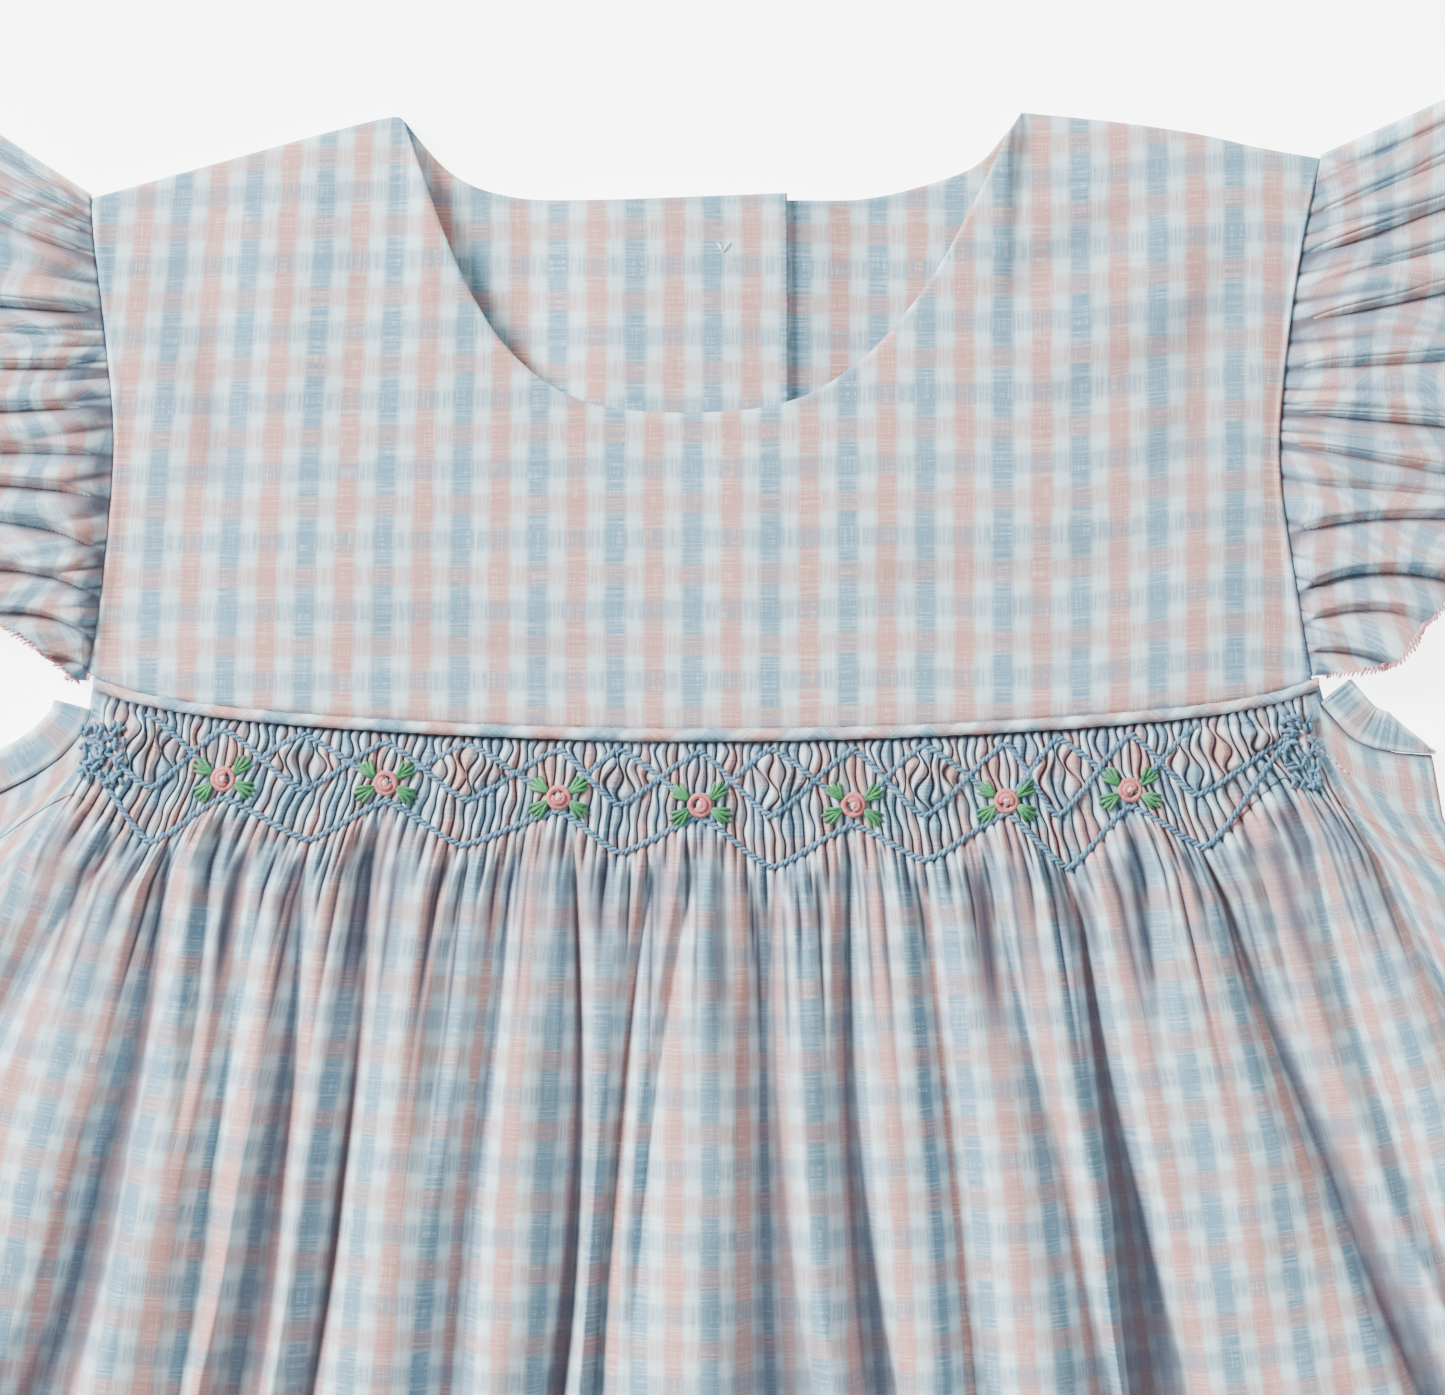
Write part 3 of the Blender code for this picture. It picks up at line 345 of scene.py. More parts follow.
class Wire:
    """A shader socket whose Python operators add Math nodes."""

    def __init__(self, finish, socket):
        self.finish = finish
        self.socket = socket

    def math(self, operation, *others, clamp=False):
        """Math node on this wire and other wires or numbers."""
        settings = {"operation": operation, "use_clamp": clamp}
        return self.finish.node("ShaderNodeMath", settings, {0: self, **dict(enumerate(others, 1))})

    def __add__(self, other):
        return self.math("ADD", other)

    __radd__ = __add__

    def __sub__(self, other):
        return self.math("SUBTRACT", other)

    def __rsub__(self, other):
        return self.finish.node("ShaderNodeMath", {"operation": "SUBTRACT"}, {0: other, 1: self})

    def __mul__(self, other):
        return self.math("MULTIPLY", other)

    __rmul__ = __mul__

    def __truediv__(self, other):
        return self.math("DIVIDE", other)

    def __abs__(self):
        return self.math("ABSOLUTE")

    def fraction(self):
        """Part after the whole number."""
        return self.math("FRACT")

    def sine(self):
        """Sine of the value in radians."""
        return self.math("SINE")

    def held(self):
        """Value held between 0 and 1."""
        return self.math("ADD", 0.0, clamp=True)


class Finish:
    """A material under construction."""

    def __init__(self, name, roughness, fixed):
        self.material = bpy.data.materials.new(name)
        self.material.use_nodes = True
        self.tree = self.material.node_tree
        self.shader = self.tree.nodes["Principled BSDF"]
        self.shader.inputs["Roughness"].default_value = roughness
        for socket, value in fixed.items():
            self.shader.inputs[socket].default_value = value

    def node(self, kind, settings=None, inputs=None, output=0):
        """Wire from a new node that wires or numbers feed."""
        plain = {key: value.socket if isinstance(value, Wire) else value
                 for key, value in (inputs or {}).items()}
        return Wire(self, add_node(self.tree, kind, settings, plain).outputs[output])

    def blend(self, factor, first, second):
        """Colour part way from one to another."""
        ends = [end if isinstance(end, Wire) else (*end, 1.0) for end in (first, second)]
        return self.node("ShaderNodeMix", {"data_type": "RGBA"},
                         {0: factor, 6: ends[0], 7: ends[1]}, 2)

    def noise(self, place, scale, detail=2.0, dimensions="3D"):
        """Soft noise over a place."""
        return self.node("ShaderNodeTexNoise", {"noise_dimensions": dimensions},
                         {"Vector": place, "Scale": scale, "Detail": detail})

    def place(self):
        """Object coordinates."""
        return self.node("ShaderNodeTexCoord", None, None, 3)

    def coloured(self, colour):
        """Send a colour to the shader."""
        self.tree.links.new(colour.socket, self.shader.inputs["Base Color"])

    def bumped(self, height, distance, strength=1.0):
        """Send a height to the shader's normal."""
        bump = self.node("ShaderNodeBump", None,
                         {"Height": height, "Distance": distance, "Strength": strength})
        self.tree.links.new(bump.socket, self.shader.inputs["Normal"])


def srgb(red, green, blue):
    """Colour given as 0 to 255, in the linear values that a shader takes."""
    shares = [channel / 255.0 for channel in (red, green, blue)]
    return tuple(s / 12.92 if s <= 0.04045 else ((s + 0.055) / 1.055) ** 2.4 for s in shares)


GROUND = srgb(198, 223, 232)
YARN_BLUE = srgb(86, 136, 160)
YARN_PINK = srgb(190, 132, 120)
PALE_THREAD = srgb(238, 240, 240)
GREY_THREAD = srgb(150, 158, 168)
# Painted shade: greys that the check is darkened toward in folds, valleys and tucks
SOFT_SHADE = srgb(112, 112, 128)
DEEP_SHADE = srgb(58, 58, 72)


def yarn_stripes(finish, colour, distance, repeat, width, strength):
    """A colour with blue and pink yarns over it, at a distance across the cloth."""
    for place, yarn in ((0.0, YARN_BLUE), (0.5, YARN_PINK)):
        from_centre = abs((distance / repeat + (0.5 - place)).fraction() - 0.5) * repeat
        mask = ((width / 2 - from_centre) / STRIPE_EDGE + 0.5).held()
        colour = finish.blend(mask * strength, colour, yarn)
    return colour


def checked_cotton(name, turn=0.0):
    """Plain-weave cotton in a blue and pink check; turn sets the check at an angle."""
    finish = Finish(name, 0.86, {"Sheen Weight": 0.2, "Sheen Roughness": 0.5,
                                 "Specular IOR Level": 0.25})
    cloth = finish.node("ShaderNodeUVMap", {"uv_map": "cloth"})
    turned = finish.node("ShaderNodeMapping", None,
                         {"Vector": cloth, "Rotation": (0.0, 0.0, turn)})
    slub = finish.noise(cloth, 0.16, dimensions="2D")
    parts = finish.node("ShaderNodeSeparateXYZ", None, {0: turned}).socket.node.outputs
    u = Wire(finish, parts[0]) + (slub - 0.5) * 0.7
    v = Wire(finish, parts[1]) + (slub - 0.5) * 0.5
    yarns = []
    for stretch in ((YARN_FINE, YARN_LONG, 1.0), (YARN_LONG, YARN_FINE, 1.0)):
        drawn = finish.node("ShaderNodeMapping", None, {"Vector": turned, "Scale": stretch})
        yarns.append(finish.noise(drawn, 1.0, dimensions="2D"))
    yarn_u, yarn_v = yarns
    warp_shows = (0.86 + (yarn_u - yarn_v) * 0.5).held()
    weft_shows = (0.5 + (yarn_v - yarn_u) * 0.8).held()
    warp = yarn_stripes(finish, GROUND, u, CHECK_ACROSS, STRIPE_ACROSS, warp_shows)
    woven = yarn_stripes(finish, warp, v, CHECK_DOWN, STRIPE_DOWN, weft_shows)
    threads = yarn_u + yarn_v - 1.0
    woven = finish.blend((threads * 0.9).held(), woven, PALE_THREAD)
    woven = finish.blend((threads * -0.8).held(), woven, GREY_THREAD)
    # Painted shade: the point attribute darkens the check toward grey where folds, valleys and
    # tucks lie in shade.
    crease_and_painted_shade = finish.node("ShaderNodeAttribute", {"attribute_name": "crease_and_painted_shade"}, None, 2)
    shaded = finish.blend((crease_and_painted_shade * 1.3).held(), woven, finish.blend(0.7, woven, SOFT_SHADE))
    finish.coloured(finish.blend((crease_and_painted_shade * 1.6 - 0.7).held(), shaded, DEEP_SHADE))
    pick = 2 * math.pi / YARN_PITCH
    weave = (u * pick).sine() * (v * pick).sine()
    finish.bumped(weave * 0.4 + (yarn_u + yarn_v) * 2.0, 0.00006, 0.5)
    return finish.material


def stranded_thread(name, dark, light):
    """Stranded embroidery cotton, with painted shade between its strands and patches of uneven
    tone.
    """
    finish = Finish(name, 0.55, {"Sheen Weight": 0.15, "Specular IOR Level": 0.35})
    place = finish.place()
    strands = finish.noise(place, 2600.0, 1.0)
    patches = finish.noise(place, 340.0, 1.0)
    # Painted shade between the strands, mixed with the thread's own uneven patches of tone
    mixed = ((strands - 0.5) * 1.4 + (patches - 0.5) * 0.9 + 0.5).held()
    finish.coloured(finish.blend(mixed, dark, light))
    finish.bumped(strands, 0.00008, 0.6)
    return finish.material


def polished_button(name):
    """White button with a faint pearly cloud."""
    finish = Finish(name, 0.22, {"Coat Weight": 0.3})
    cloud = finish.noise(finish.place(), 260.0, 3.0)
    finish.coloured(finish.blend(cloud, srgb(226, 226, 220), srgb(244, 243, 238)))
    return finish.material


def paper_floor(name):
    """Plain white table with a trace of tone."""
    finish = Finish(name, 0.9, {"Specular IOR Level": 0.1, "Emission Strength": 4.4,
                                "Emission Color": (1.0, 1.0, 1.0, 1.0)})
    tone = finish.noise(finish.place(), 4.0)
    finish.coloured(finish.blend(tone, (0.93, 0.93, 0.93), (0.96, 0.96, 0.96)))
    return finish.material


# Mesh building


def zip_edges(first, second, points, faces):
    """Fill the strip between two rows of vertex numbers by the shorter diagonal."""
    i = 0
    j = 0
    while i < len(first) - 1 or j < len(second) - 1:
        if i == len(first) - 1 or j == len(second) - 1:
            step = j == len(second) - 1
        else:
            ahead = points[first[i + 1]] - points[second[j]]
            aside = points[first[i]] - points[second[j + 1]]
            step = ahead @ ahead <= aside @ aside
        if step:
            faces.append((first[i], first[i + 1], second[j]))
            i += 1
        else:
            faces.append((first[i], second[j + 1], second[j]))
            j += 1


def grid_faces(numbers, faces):
    """Quads over a grid of vertex numbers."""
    a = numbers[:-1, :-1].ravel()
    b = numbers[:-1, 1:].ravel()
    c = numbers[1:, 1:].ravel()
    d = numbers[1:, :-1].ravel()
    faces.extend(zip(a.tolist(), b.tolist(), c.tolist(), d.tolist()))


def tube_faces(rings, sides, faces, first=0, joined=False):
    """Faces of a tube of rings of vertices, with flat ends or joined into a loop."""
    numbers = first + np.arange(rings * sides).reshape(rings, sides)
    around = np.concatenate([numbers, numbers[:, :1]], axis=1)
    if joined:
        grid_faces(np.concatenate([around, around[:1]], axis=0), faces)
        return
    grid_faces(around, faces)
    faces.append(tuple(numbers[0].tolist()))
    faces.append(tuple(numbers[-1].tolist()))


def finish_mesh(name, points, faces, material, cloth=None, crease_and_painted_shade=None, merged=False):
    """Object in metres from points in millimetres, with its cloth map and the painted shade of its
    folds and valleys.
    """
    mesh = bpy.data.meshes.new(name)
    mesh.from_pydata((np.asarray(points) * MM).tolist(), [], faces)
    builder = bmesh.new()
    builder.from_mesh(mesh)
    if merged:
        bmesh.ops.remove_doubles(builder, verts=builder.verts, dist=0.00001)
    bmesh.ops.recalc_face_normals(builder, faces=builder.faces)
    builder.to_mesh(mesh)
    builder.free()
    corners = np.empty(len(mesh.loops), dtype=np.int32)
    mesh.loops.foreach_get("vertex_index", corners)
    if cloth is not None:
        layer = mesh.uv_layers.new(name="cloth")
        layer.data.foreach_set("uv", np.asarray(cloth, dtype=np.float32)[corners].ravel())
        # Painted shade of each point, read by the cloth's shader
        shade = np.zeros(len(points)) if crease_and_painted_shade is None else crease_and_painted_shade
        marks = mesh.attributes.new("crease_and_painted_shade", "FLOAT", "POINT")
        marks.data.foreach_set("value", np.asarray(shade, dtype=np.float32))
    mesh.shade_smooth()
    mesh.materials.append(material)
    thing = bpy.data.objects.new(name, mesh)
    bpy.context.scene.collection.objects.link(thing)
    return thing


def two_skins(name, outer, inner, cloth_outer, cloth_inner, material, crease_and_painted_shade=None):
    """Closed cloth between an outer and an inner grid of points, joined along four edges."""
    rows, columns = outer.shape[:2]
    low_rows, low_columns = inner.shape[:2]
    first = np.arange(rows * columns).reshape(rows, columns)
    second = np.arange(low_rows * low_columns).reshape(low_rows, low_columns) + rows * columns
    points = np.concatenate([outer.reshape(-1, 3), inner.reshape(-1, 3)])
    faces = []
    grid_faces(first, faces)
    grid_faces(second, faces)
    for one, other in ((first[0], second[0]), (first[-1], second[-1]),
                       (first[:, 0], second[:, 0]), (first[:, -1], second[:, -1])):
        zip_edges(one.tolist(), other.tolist(), points, faces)
    cloth = np.concatenate([cloth_outer.reshape(-1, 2), cloth_inner.reshape(-1, 2)])
    shade = None
    if crease_and_painted_shade is not None:
        shade = np.concatenate([crease_and_painted_shade.ravel(), np.zeros(low_rows * low_columns)])
    return finish_mesh(name, points, faces, material, cloth, shade)


def lowest_near(heights, reach):
    """Lowest height within a reach of grid steps either way."""
    padded = np.pad(heights, reach, mode="edge")
    window = 2 * reach + 1
    views = np.lib.stride_tricks.sliding_window_view(padded, (window, window))
    return views.min(axis=(2, 3))


def laid_cloth(name, x, y, z, cloth, material, crease_and_painted_shade=None, coarse=4, thick=COTTON):
    """Thin cloth over a grid of places, with a plainer underside."""
    outer = stacked(x, y, z)
    rows = sorted({*range(0, x.shape[0], coarse), x.shape[0] - 1})
    columns = sorted({*range(0, x.shape[1], coarse), x.shape[1] - 1})
    pick = np.ix_(rows, columns)
    under = lowest_near(z, coarse)[pick] - thick
    inner = stacked(x[pick], y[pick], under)
    return two_skins(name, outer, inner, cloth, cloth[pick], material, crease_and_painted_shade)


def keep(piece, nodes=()):
    """Fix a finished piece to the garment and hide the nodes that it stands for."""
    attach(piece, "root")
    if nodes:
        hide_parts(*nodes)
    return piece


# Yoke


def seam_y(x):
    """Height of the piping's centre line at x."""
    rise = PIPING_BOW * (x / 100.0) ** 2
    return PIPING_CENTRE_Y + rise + PIPING_END_LIFT * (x / PIPING_END) ** 12


def armhole_x(y, side):
    """Yoke's edge at a height, on the left for side -1 and on the right for side 1."""
    curve = along(ARMHOLE_LEFT if side < 0 else ARMHOLE_RIGHT, np.linspace(0.0, 1.0, 25))
    return np.interp(y, curve[:, 1], curve[:, 0]) - side * SEAM_CLOSED


def drawn_out(foot_x, top, rise, share, side):
    """Place between the yoke's foot and top, drawn out to the armhole near a side."""
    foot_y = seam_y(foot_x) + SEAM_CLEARANCE
    x = foot_x + (top[..., 0] - foot_x) * rise
    y = foot_y + (top[..., 1] - foot_y) * rise
    shoulder = SHOULDER_LEFT[0] if side < 0 else SHOULDER_RIGHT[-1]
    corner = armhole_x(0.0, side)
    straight = corner + (shoulder[0] - corner) * rise
    return x + (armhole_x(y, side) - straight) * np.abs(share) ** 6, y


# Soft creases of the yoke: ends, depth and half width
CREASE_COLUMNS = ("x0", "y0", "x1", "y1", "depth", "width")
YOKE_CREASES = (
    (-98.0, 186.0, -84.0, 128.0, 0.8, 7.0),
    (-84.0, 190.0, -70.0, 150.0, -0.5, 6.0),
    (-104.0, 140.0, -88.0, 112.0, 0.5, 5.0),
    (-66.0, 196.0, -60.0, 168.0, 0.4, 4.0),
    (96.0, 188.0, 84.0, 132.0, 0.7, 7.0),
    (78.0, 196.0, 88.0, 168.0, -0.4, 6.0),
    (58.0, 150.0, 98.0, 168.0, 0.5, 5.0),
    (20.0, 118.0, 92.0, 128.0, 0.45, 5.0),
    (-70.0, 112.0, -10.0, 106.0, 0.4, 5.0),
    (4.0, 148.0, 10.0, 112.0, -0.4, 8.0),
    (56.0, 120.0, 70.0, 104.0, 0.4, 4.0),
    (50.0, 171.0, 88.0, 194.0, 0.6, 4.5),
    (-90.0, 170.0, -86.0, 136.0, 0.5, 3.0),
)


def creased(x, y, creases):
    """Depth of soft creases at places on a panel."""
    depth = np.zeros(x.shape)
    for row in creases:
        crease_and_painted_shade = dict(zip(CREASE_COLUMNS, row))
        dx = crease_and_painted_shade["x1"] - crease_and_painted_shade["x0"]
        dy = crease_and_painted_shade["y1"] - crease_and_painted_shade["y0"]
        length = math.hypot(dx, dy)
        go = ((x - crease_and_painted_shade["x0"]) * dx + (y - crease_and_painted_shade["y0"]) * dy) / length
        off = ((x - crease_and_painted_shade["x0"]) * -dy + (y - crease_and_painted_shade["y0"]) * dx) / length
        fade = ease(go / length * 4.0) * ease((length - go) / length * 4.0)
        depth += crease_and_painted_shade["depth"] * fade * np.exp(-(off / crease_and_painted_shade["width"]) ** 2)
    return depth


def yoke_cloth(x, y, lean):
    """Cloth's own place on the yoke: the check leans at the left and waves at the right."""
    left = np.clip((-x - 20.0) / 90.0, 0.0, 1.0)
    right = np.clip((x - 10.0) / 90.0, 0.0, 1.0)
    u = x - lean * 0.075 * left * (y - 110.0) + 0.8 * np.sin((y - 100.0) / 21.0) * left
    v = y - lean * 3.2 * right ** 1.4 - lean * 1.1 * right * np.sin(x / 12.0)
    v = v + lean * 3.0 * left * (y - 95.0) / 100.0
    return u, v


def front_yoke(material):
    """Front yoke, lying softly on the back with its neck cut out in a scoop."""
    part = np.linspace(0.0, 1.0, 301)[None, :]
    rise = np.linspace(0.0, 1.0, 121)[:, None]
    share = 2.0 * part - 1.0
    top = np.where(share[..., None] < -NECK_SHARE,
                   along(SHOULDER_LEFT, (share + 1.0) / (1.0 - NECK_SHARE)),
                   np.where(share[..., None] > NECK_SHARE,
                            along(SHOULDER_RIGHT, (share - NECK_SHARE) / (1.0 - NECK_SHARE)),
                            along(NECK_FRONT, (share + NECK_SHARE) / (2.0 * NECK_SHARE))))
    feet = armhole_x(0.0, -1) + (armhole_x(0.0, 1) - armhole_x(0.0, -1)) * part
    left_x, left_y = drawn_out(feet, top, rise, share, -1)
    right_x, right_y = drawn_out(feet, top, rise, share, 1)
    x = np.where(share < 0, left_x, right_x)
    y = np.where(share < 0, left_y, right_y)
    shoulder = ease((np.abs(share) - 0.42) / 0.1)
    lift = YOKE_CROWN * (1.0 - np.abs(share) ** 6) * (1.0 - shoulder * rise ** 5)
    held = (1.0 - np.abs(share) ** 10) * (1.0 - rise ** 14) * np.minimum(1.0, rise * 12.0)
    trough = creased(x, y, YOKE_CREASES) * held
    z = FRONT_LOW + lift - YOKE_TROUGH * trough
    z = z + 0.16 * ripple(x, y, 3, 34.0) * held
    roll = 0.35 * np.exp(-((1.0 - rise) * YOKE_LENGTH / 1.3) ** 2)
    from_side = (1.0 - np.abs(share)) * YOKE_HALF_WIDTH
    seam = ease(np.minimum(1.0, (1.0 - rise) * 12.0))
    z = z - roll + (0.7 * np.exp(-((from_side - 0.9) / 1.1) ** 2)
                    - 0.6 * np.exp(-(from_side / 0.5) ** 2)) * seam
    z = z - 0.4 * np.exp(-(rise * YOKE_LENGTH / 0.8) ** 2)
    u, v = yoke_cloth(x, y, 1.0)
    cloth = stacked(u + 2.4, v - 0.9)
    # Painted shade: the troughs of the soft creases are darkened as well as lowered
    shade = np.clip(trough, 0.0, 1.0) * YOKE_SHADE
    piece = laid_cloth("yoke_front", x, y, z, cloth, material, shade)
    keep(piece, ["front_yoke"])


def back_yoke(name, node, neck, shoulder, side, lap_x, lift, ramp, shift, material):
    """Half of the back yoke, seen from inside through the neck."""
    neck_part = 0.62
    share = np.linspace(0.0, 1.0, 151)[None, :]
    rise = np.linspace(0.0, 1.0, 101)[:, None]
    top = np.where(share[..., None] <= neck_part, along(neck, share / neck_part),
                   along(shoulder, (share - neck_part) / (1.0 - neck_part)))
    x, y = drawn_out(lap_x + (armhole_x(0.0, side) - lap_x) * share, top, rise, share, side)
    base = lift * ease((ramp[1] - side * x) / (ramp[1] - ramp[0]))
    sway = 0.12 * ripple(x, y, 11, 26.0) * np.clip(base * 3.0, 0.0, 1.0)
    z = base + WALL + sway * (1.0 - share ** 8)
    cloth = stacked(x + shift[0], y + shift[1])
    pick = np.ix_(range(0, 101, 4), range(0, 151, 3))
    outer = stacked(x, y, z)
    under = stacked(x[pick], y[pick], base[pick])
    piece = two_skins(name, outer, under, cloth, cloth[pick], material)
    keep(piece, [node])


def piping_z(x):
    """Height of the piping's centre, which follows the yoke's crown."""
    return FRONT_LOW + 0.3 + 0.75 * YOKE_CROWN * (1.0 - np.abs(x / PIPING_END) ** 6)


def piping(material):
    """Piping cord covered in bias-cut check, slightly drawn in by its stitches."""
    x = np.linspace(-PIPING_END, PIPING_END, 520)[:, None]
    turn = np.linspace(0.0, 2.0 * math.pi, 15)[None, :-1]
    swell = PIPING_RADIUS * (1.0 + 0.035 * np.sin(x * 2.1) + 0.03 * np.sin(x * 0.77 + 1.0))
    y = seam_y(x) + swell * np.cos(turn)
    z = piping_z(x) + swell * np.sin(turn)
    points = stacked(x, y, z)
    faces = []
    tube_faces(*y.shape, faces)
    around = np.abs(turn - math.pi) * PIPING_RADIUS
    cloth = stacked(x, around).reshape(-1, 2)
    piece = finish_mesh("piping_cord", points.reshape(-1, 3), faces, material, cloth)
    keep(piece, ["piping"])


# Body


def top_y(x):
    """Upper edge of the body, along the piping and then down the armhole."""
    inside = seam_y(x) - SEAM_CLEARANCE
    edge = np.where(x < 0, level(EDGE_LEFT, x), level(EDGE_RIGHT, x))
    return np.where(np.abs(x) <= PIPING_END, inside, edge)


def bottom_y(share):
    """Lower edge of the body: the crotch, then up along the leg opening."""
    climb = np.clip((np.abs(share) - CROTCH_SHARE) / (1.0 - CROTCH_SHARE), 0.0, 1.0)
    return CROTCH_Y + (SIDE_FOOT_Y - CROTCH_Y) * climb ** 1.3


def half_width(side_y):
    """Half width of the body where its side is at side_y."""
    return level(SIDE_WIDTHS, side_y)


def width_at(drop):
    """Half width of the skirt at a drop from the smocking to the leg openings."""
    return half_width(BAND_SIDE_Y + (SIDE_FOOT_Y - BAND_SIDE_Y) * drop)


def wave_y(share):
    """Height of the smocking's lower edge at a share of the width."""
    return swing(LOWER_WAVE, share * half_width(BAND_SIDE_Y), THREAD_STRAIGHT)


def band_top(share):
    """Upper edge of the body at a share of the width."""
    return top_y(share * UNDERARM[0])


def band_point(share, drop):
    """Place on the smocked band: share across, drop from its top edge to its lower wave."""
    side_y = UNDERARM[1] + (BAND_SIDE_Y - UNDERARM[1]) * drop
    start = band_top(share)
    return share * half_width(side_y), start + (wave_y(share) - start) * drop


def skirt_point(share, drop):
    """Place on the skirt: share across, drop from the smocking to the leg openings."""
    start = wave_y(share)
    return share * width_at(drop), start + (bottom_y(share) - start) * drop


def find_share(x, y):
    """Share and drop of the skirt's point at x and y."""
    share = x / half_width(y)
    drop = 0.0
    for _ in range(12):
        start = wave_y(np.clip(share, -1.0, 1.0))
        drop = np.clip((start - y) / (start - bottom_y(share)), 0.0, 1.0)
        share = x / width_at(drop)
    return float(share), float(drop)


def read_valleys():
    """Valleys of the skirt as named values, with their places as shares of the width."""
    valleys = []
    for row in VALLEYS:
        valley = dict(zip(VALLEY_COLUMNS, row))
        valley["marks"] = [find_share(valley[name], y)[::-1]
                           for name, y in zip(("x_top", "x_mid", "x_low"), VALLEY_LEVELS)]
        valleys.append(valley)
    return valleys


def valley_share(valley, drop):
    """Share across at which a valley lies, at drops below the smocking."""
    (d0, s0), (d1, s1), (d2, s2) = valley["marks"]
    at = np.clip(drop, 0.0, d2)
    first = s0 * (at - d1) * (at - d2) / ((d0 - d1) * (d0 - d2))
    second = s1 * (at - d0) * (at - d2) / ((d1 - d0) * (d1 - d2))
    third = s2 * (at - d0) * (at - d1) / ((d2 - d0) * (d2 - d1))
    return first + second + third


def fold_edges(valleys, share, drop):
    """Shares at which the fold at each place begins and ends."""
    long_ones = [valley for valley in valleys if valley["last"] > LONG_VALLEY]
    edge = np.ones_like(drop)
    marks = [-edge] + [valley_share(valley, drop) for valley in long_ones] + [edge]
    low = np.zeros(np.broadcast(share, drop).shape)
    high = low
    for first, second in zip(marks, marks[1:]):
        inside = (share >= first) & (share <= second)
        low = np.where(inside, first, low)
        high = np.where(inside, second, high)
    return low, high


def skirt_height(valleys, share, drop):
    """Height of the skirt over its lowest level, and the painted shade of its valleys and of the
    flanks to their left.
    """
    width = width_at(drop)
    height = level(CREST_HEIGHTS, drop) * (1.0 - np.clip(np.abs(share), 0.0, 1.0) ** 8)
    low, high = fold_edges(valleys, share, drop)
    off = 2.0 * (share - low) / np.maximum(high - low, LEAST_STEP) - 1.0
    height = height * (1.0 - FOLD_ROUND * ease(drop / 0.2) * off * off)
    crease_and_painted_shade = np.zeros(height.shape)
    for valley in valleys:
        fade = 1.0 - ease((drop - valley["last"] + 0.08) / 0.16)
        onset = ease(drop / 0.05 + 0.2)
        floor = valley["floor"] * np.clip(drop / valley["marks"][-1][0], 0.0, 1.0) ** 1.5
        offset = (share - valley_share(valley, drop)) * width
        reach = np.where(offset < 0, valley["left"], valley["right"])
        near = 1.0 - np.clip(np.maximum(np.abs(offset) - floor / 2, 0.0) / reach, 0.0, 1.0)
        groove = near * near + (ease(near) - near * near) * valley["soft"]
        pull = valley["depth"] * fade * onset
        flank = ease(1.0 + np.clip(offset / (FLANK_REACH * valley["left"]), -1.0, 0.0))
        height = height * (1.0 - pull * groove) * (1.0 - 0.3 * pull * flank * (offset < 0))
        # Painted shade: dark in each valley and over the flank to its left, which the light leaves
        # in shade
        shade = np.maximum(near ** 2.2, FLANK_SHADE * flank * (offset < 0))
        crease_and_painted_shade = np.maximum(crease_and_painted_shade, pull * (1.0 - 0.7 * valley["soft"]) * shade)
    return height, crease_and_painted_shade


def pleat_number(share):
    """Count of pleats from the middle, a whole number in each valley."""
    return share * UNDERARM[0] / SMOCKED_END * PLEATS / 2


def pleated(share, drop_mm, looseness):
    """Height of the smocked pleats and the gathers below them, and the painted shade of their
    valleys.
    """
    number = pleat_number(share)
    inside = ease((SMOCKED_SHARE - np.abs(share)) * SMOCKED_FADE)
    drop_mm = np.clip(drop_mm, 0.0, None)
    height = np.zeros(np.broadcast(share, drop_mm).shape)
    shade = np.zeros(height.shape)
    for pleats, peak, size, bend, phase in GATHERS:
        wander = bend * np.sin(number * 0.37 + phase) + 0.5 * bend * np.sin(number * 1.1 + phase)
        wave = np.abs(np.sin(np.pi * number / pleats + wander)) ** 0.75
        uneven = 1.0 + 0.3 * np.sin(number * 0.83 + 2.0 * phase) * np.sin(number * 0.29 + phase)
        if peak:
            part = drop_mm / peak
            share_now = (part * np.exp(1.0 - part)) ** 2 * (1.0 - looseness)
        else:
            share_now = np.exp(-drop_mm / FINE_FADE) * (1.0 + looseness)
        height = height + size * uneven * wave * share_now
        # Painted shade: darkest in each valley between pleats
        shade = np.maximum(shade, (1.0 - wave) ** 1.2 * np.minimum(1.0, 1.25 * share_now))
    return inside * height, inside * np.clip(shade, 0.0, 1.0)


def thread_lines():
    """Turning points of the three smocking threads."""
    below = SEAM_CLEARANCE + THREAD_BELOW_SEAM
    tops = [(x, seam_y(x) - below) for x, _ in FLOWERS]
    falls = [(x, seam_y(x) - below + 0.4) for x, _ in POINTS_BETWEEN]
    start = (-110.5, 92.2)
    end = (106.2, 93.8)
    rising = sorted(tops + list(POINTS_BETWEEN))
    falling = sorted(falls + list(FLOWERS))
    lower = [row for row in LOWER_WAVE if -101.0 < row[0] < 91.0]
    return {
        "upper": [start] + rising + [end],
        "crossing": falling,
        "lower": [(-111.5, 88.6)] + lower + [end],
    }


def fine_shares():
    """Shares of the front's columns, close in the pleats and wider at either side."""
    pleats = np.linspace(-SMOCKED_SHARE, SMOCKED_SHARE, COLUMNS_A_PLEAT * PLEATS + 1)
    plain = SMOCKED_SHARE + (1.0 - SMOCKED_SHARE) * np.linspace(0.04, 1.0, 26)
    return np.concatenate([-plain[::-1], pleats, plain])[None, :]


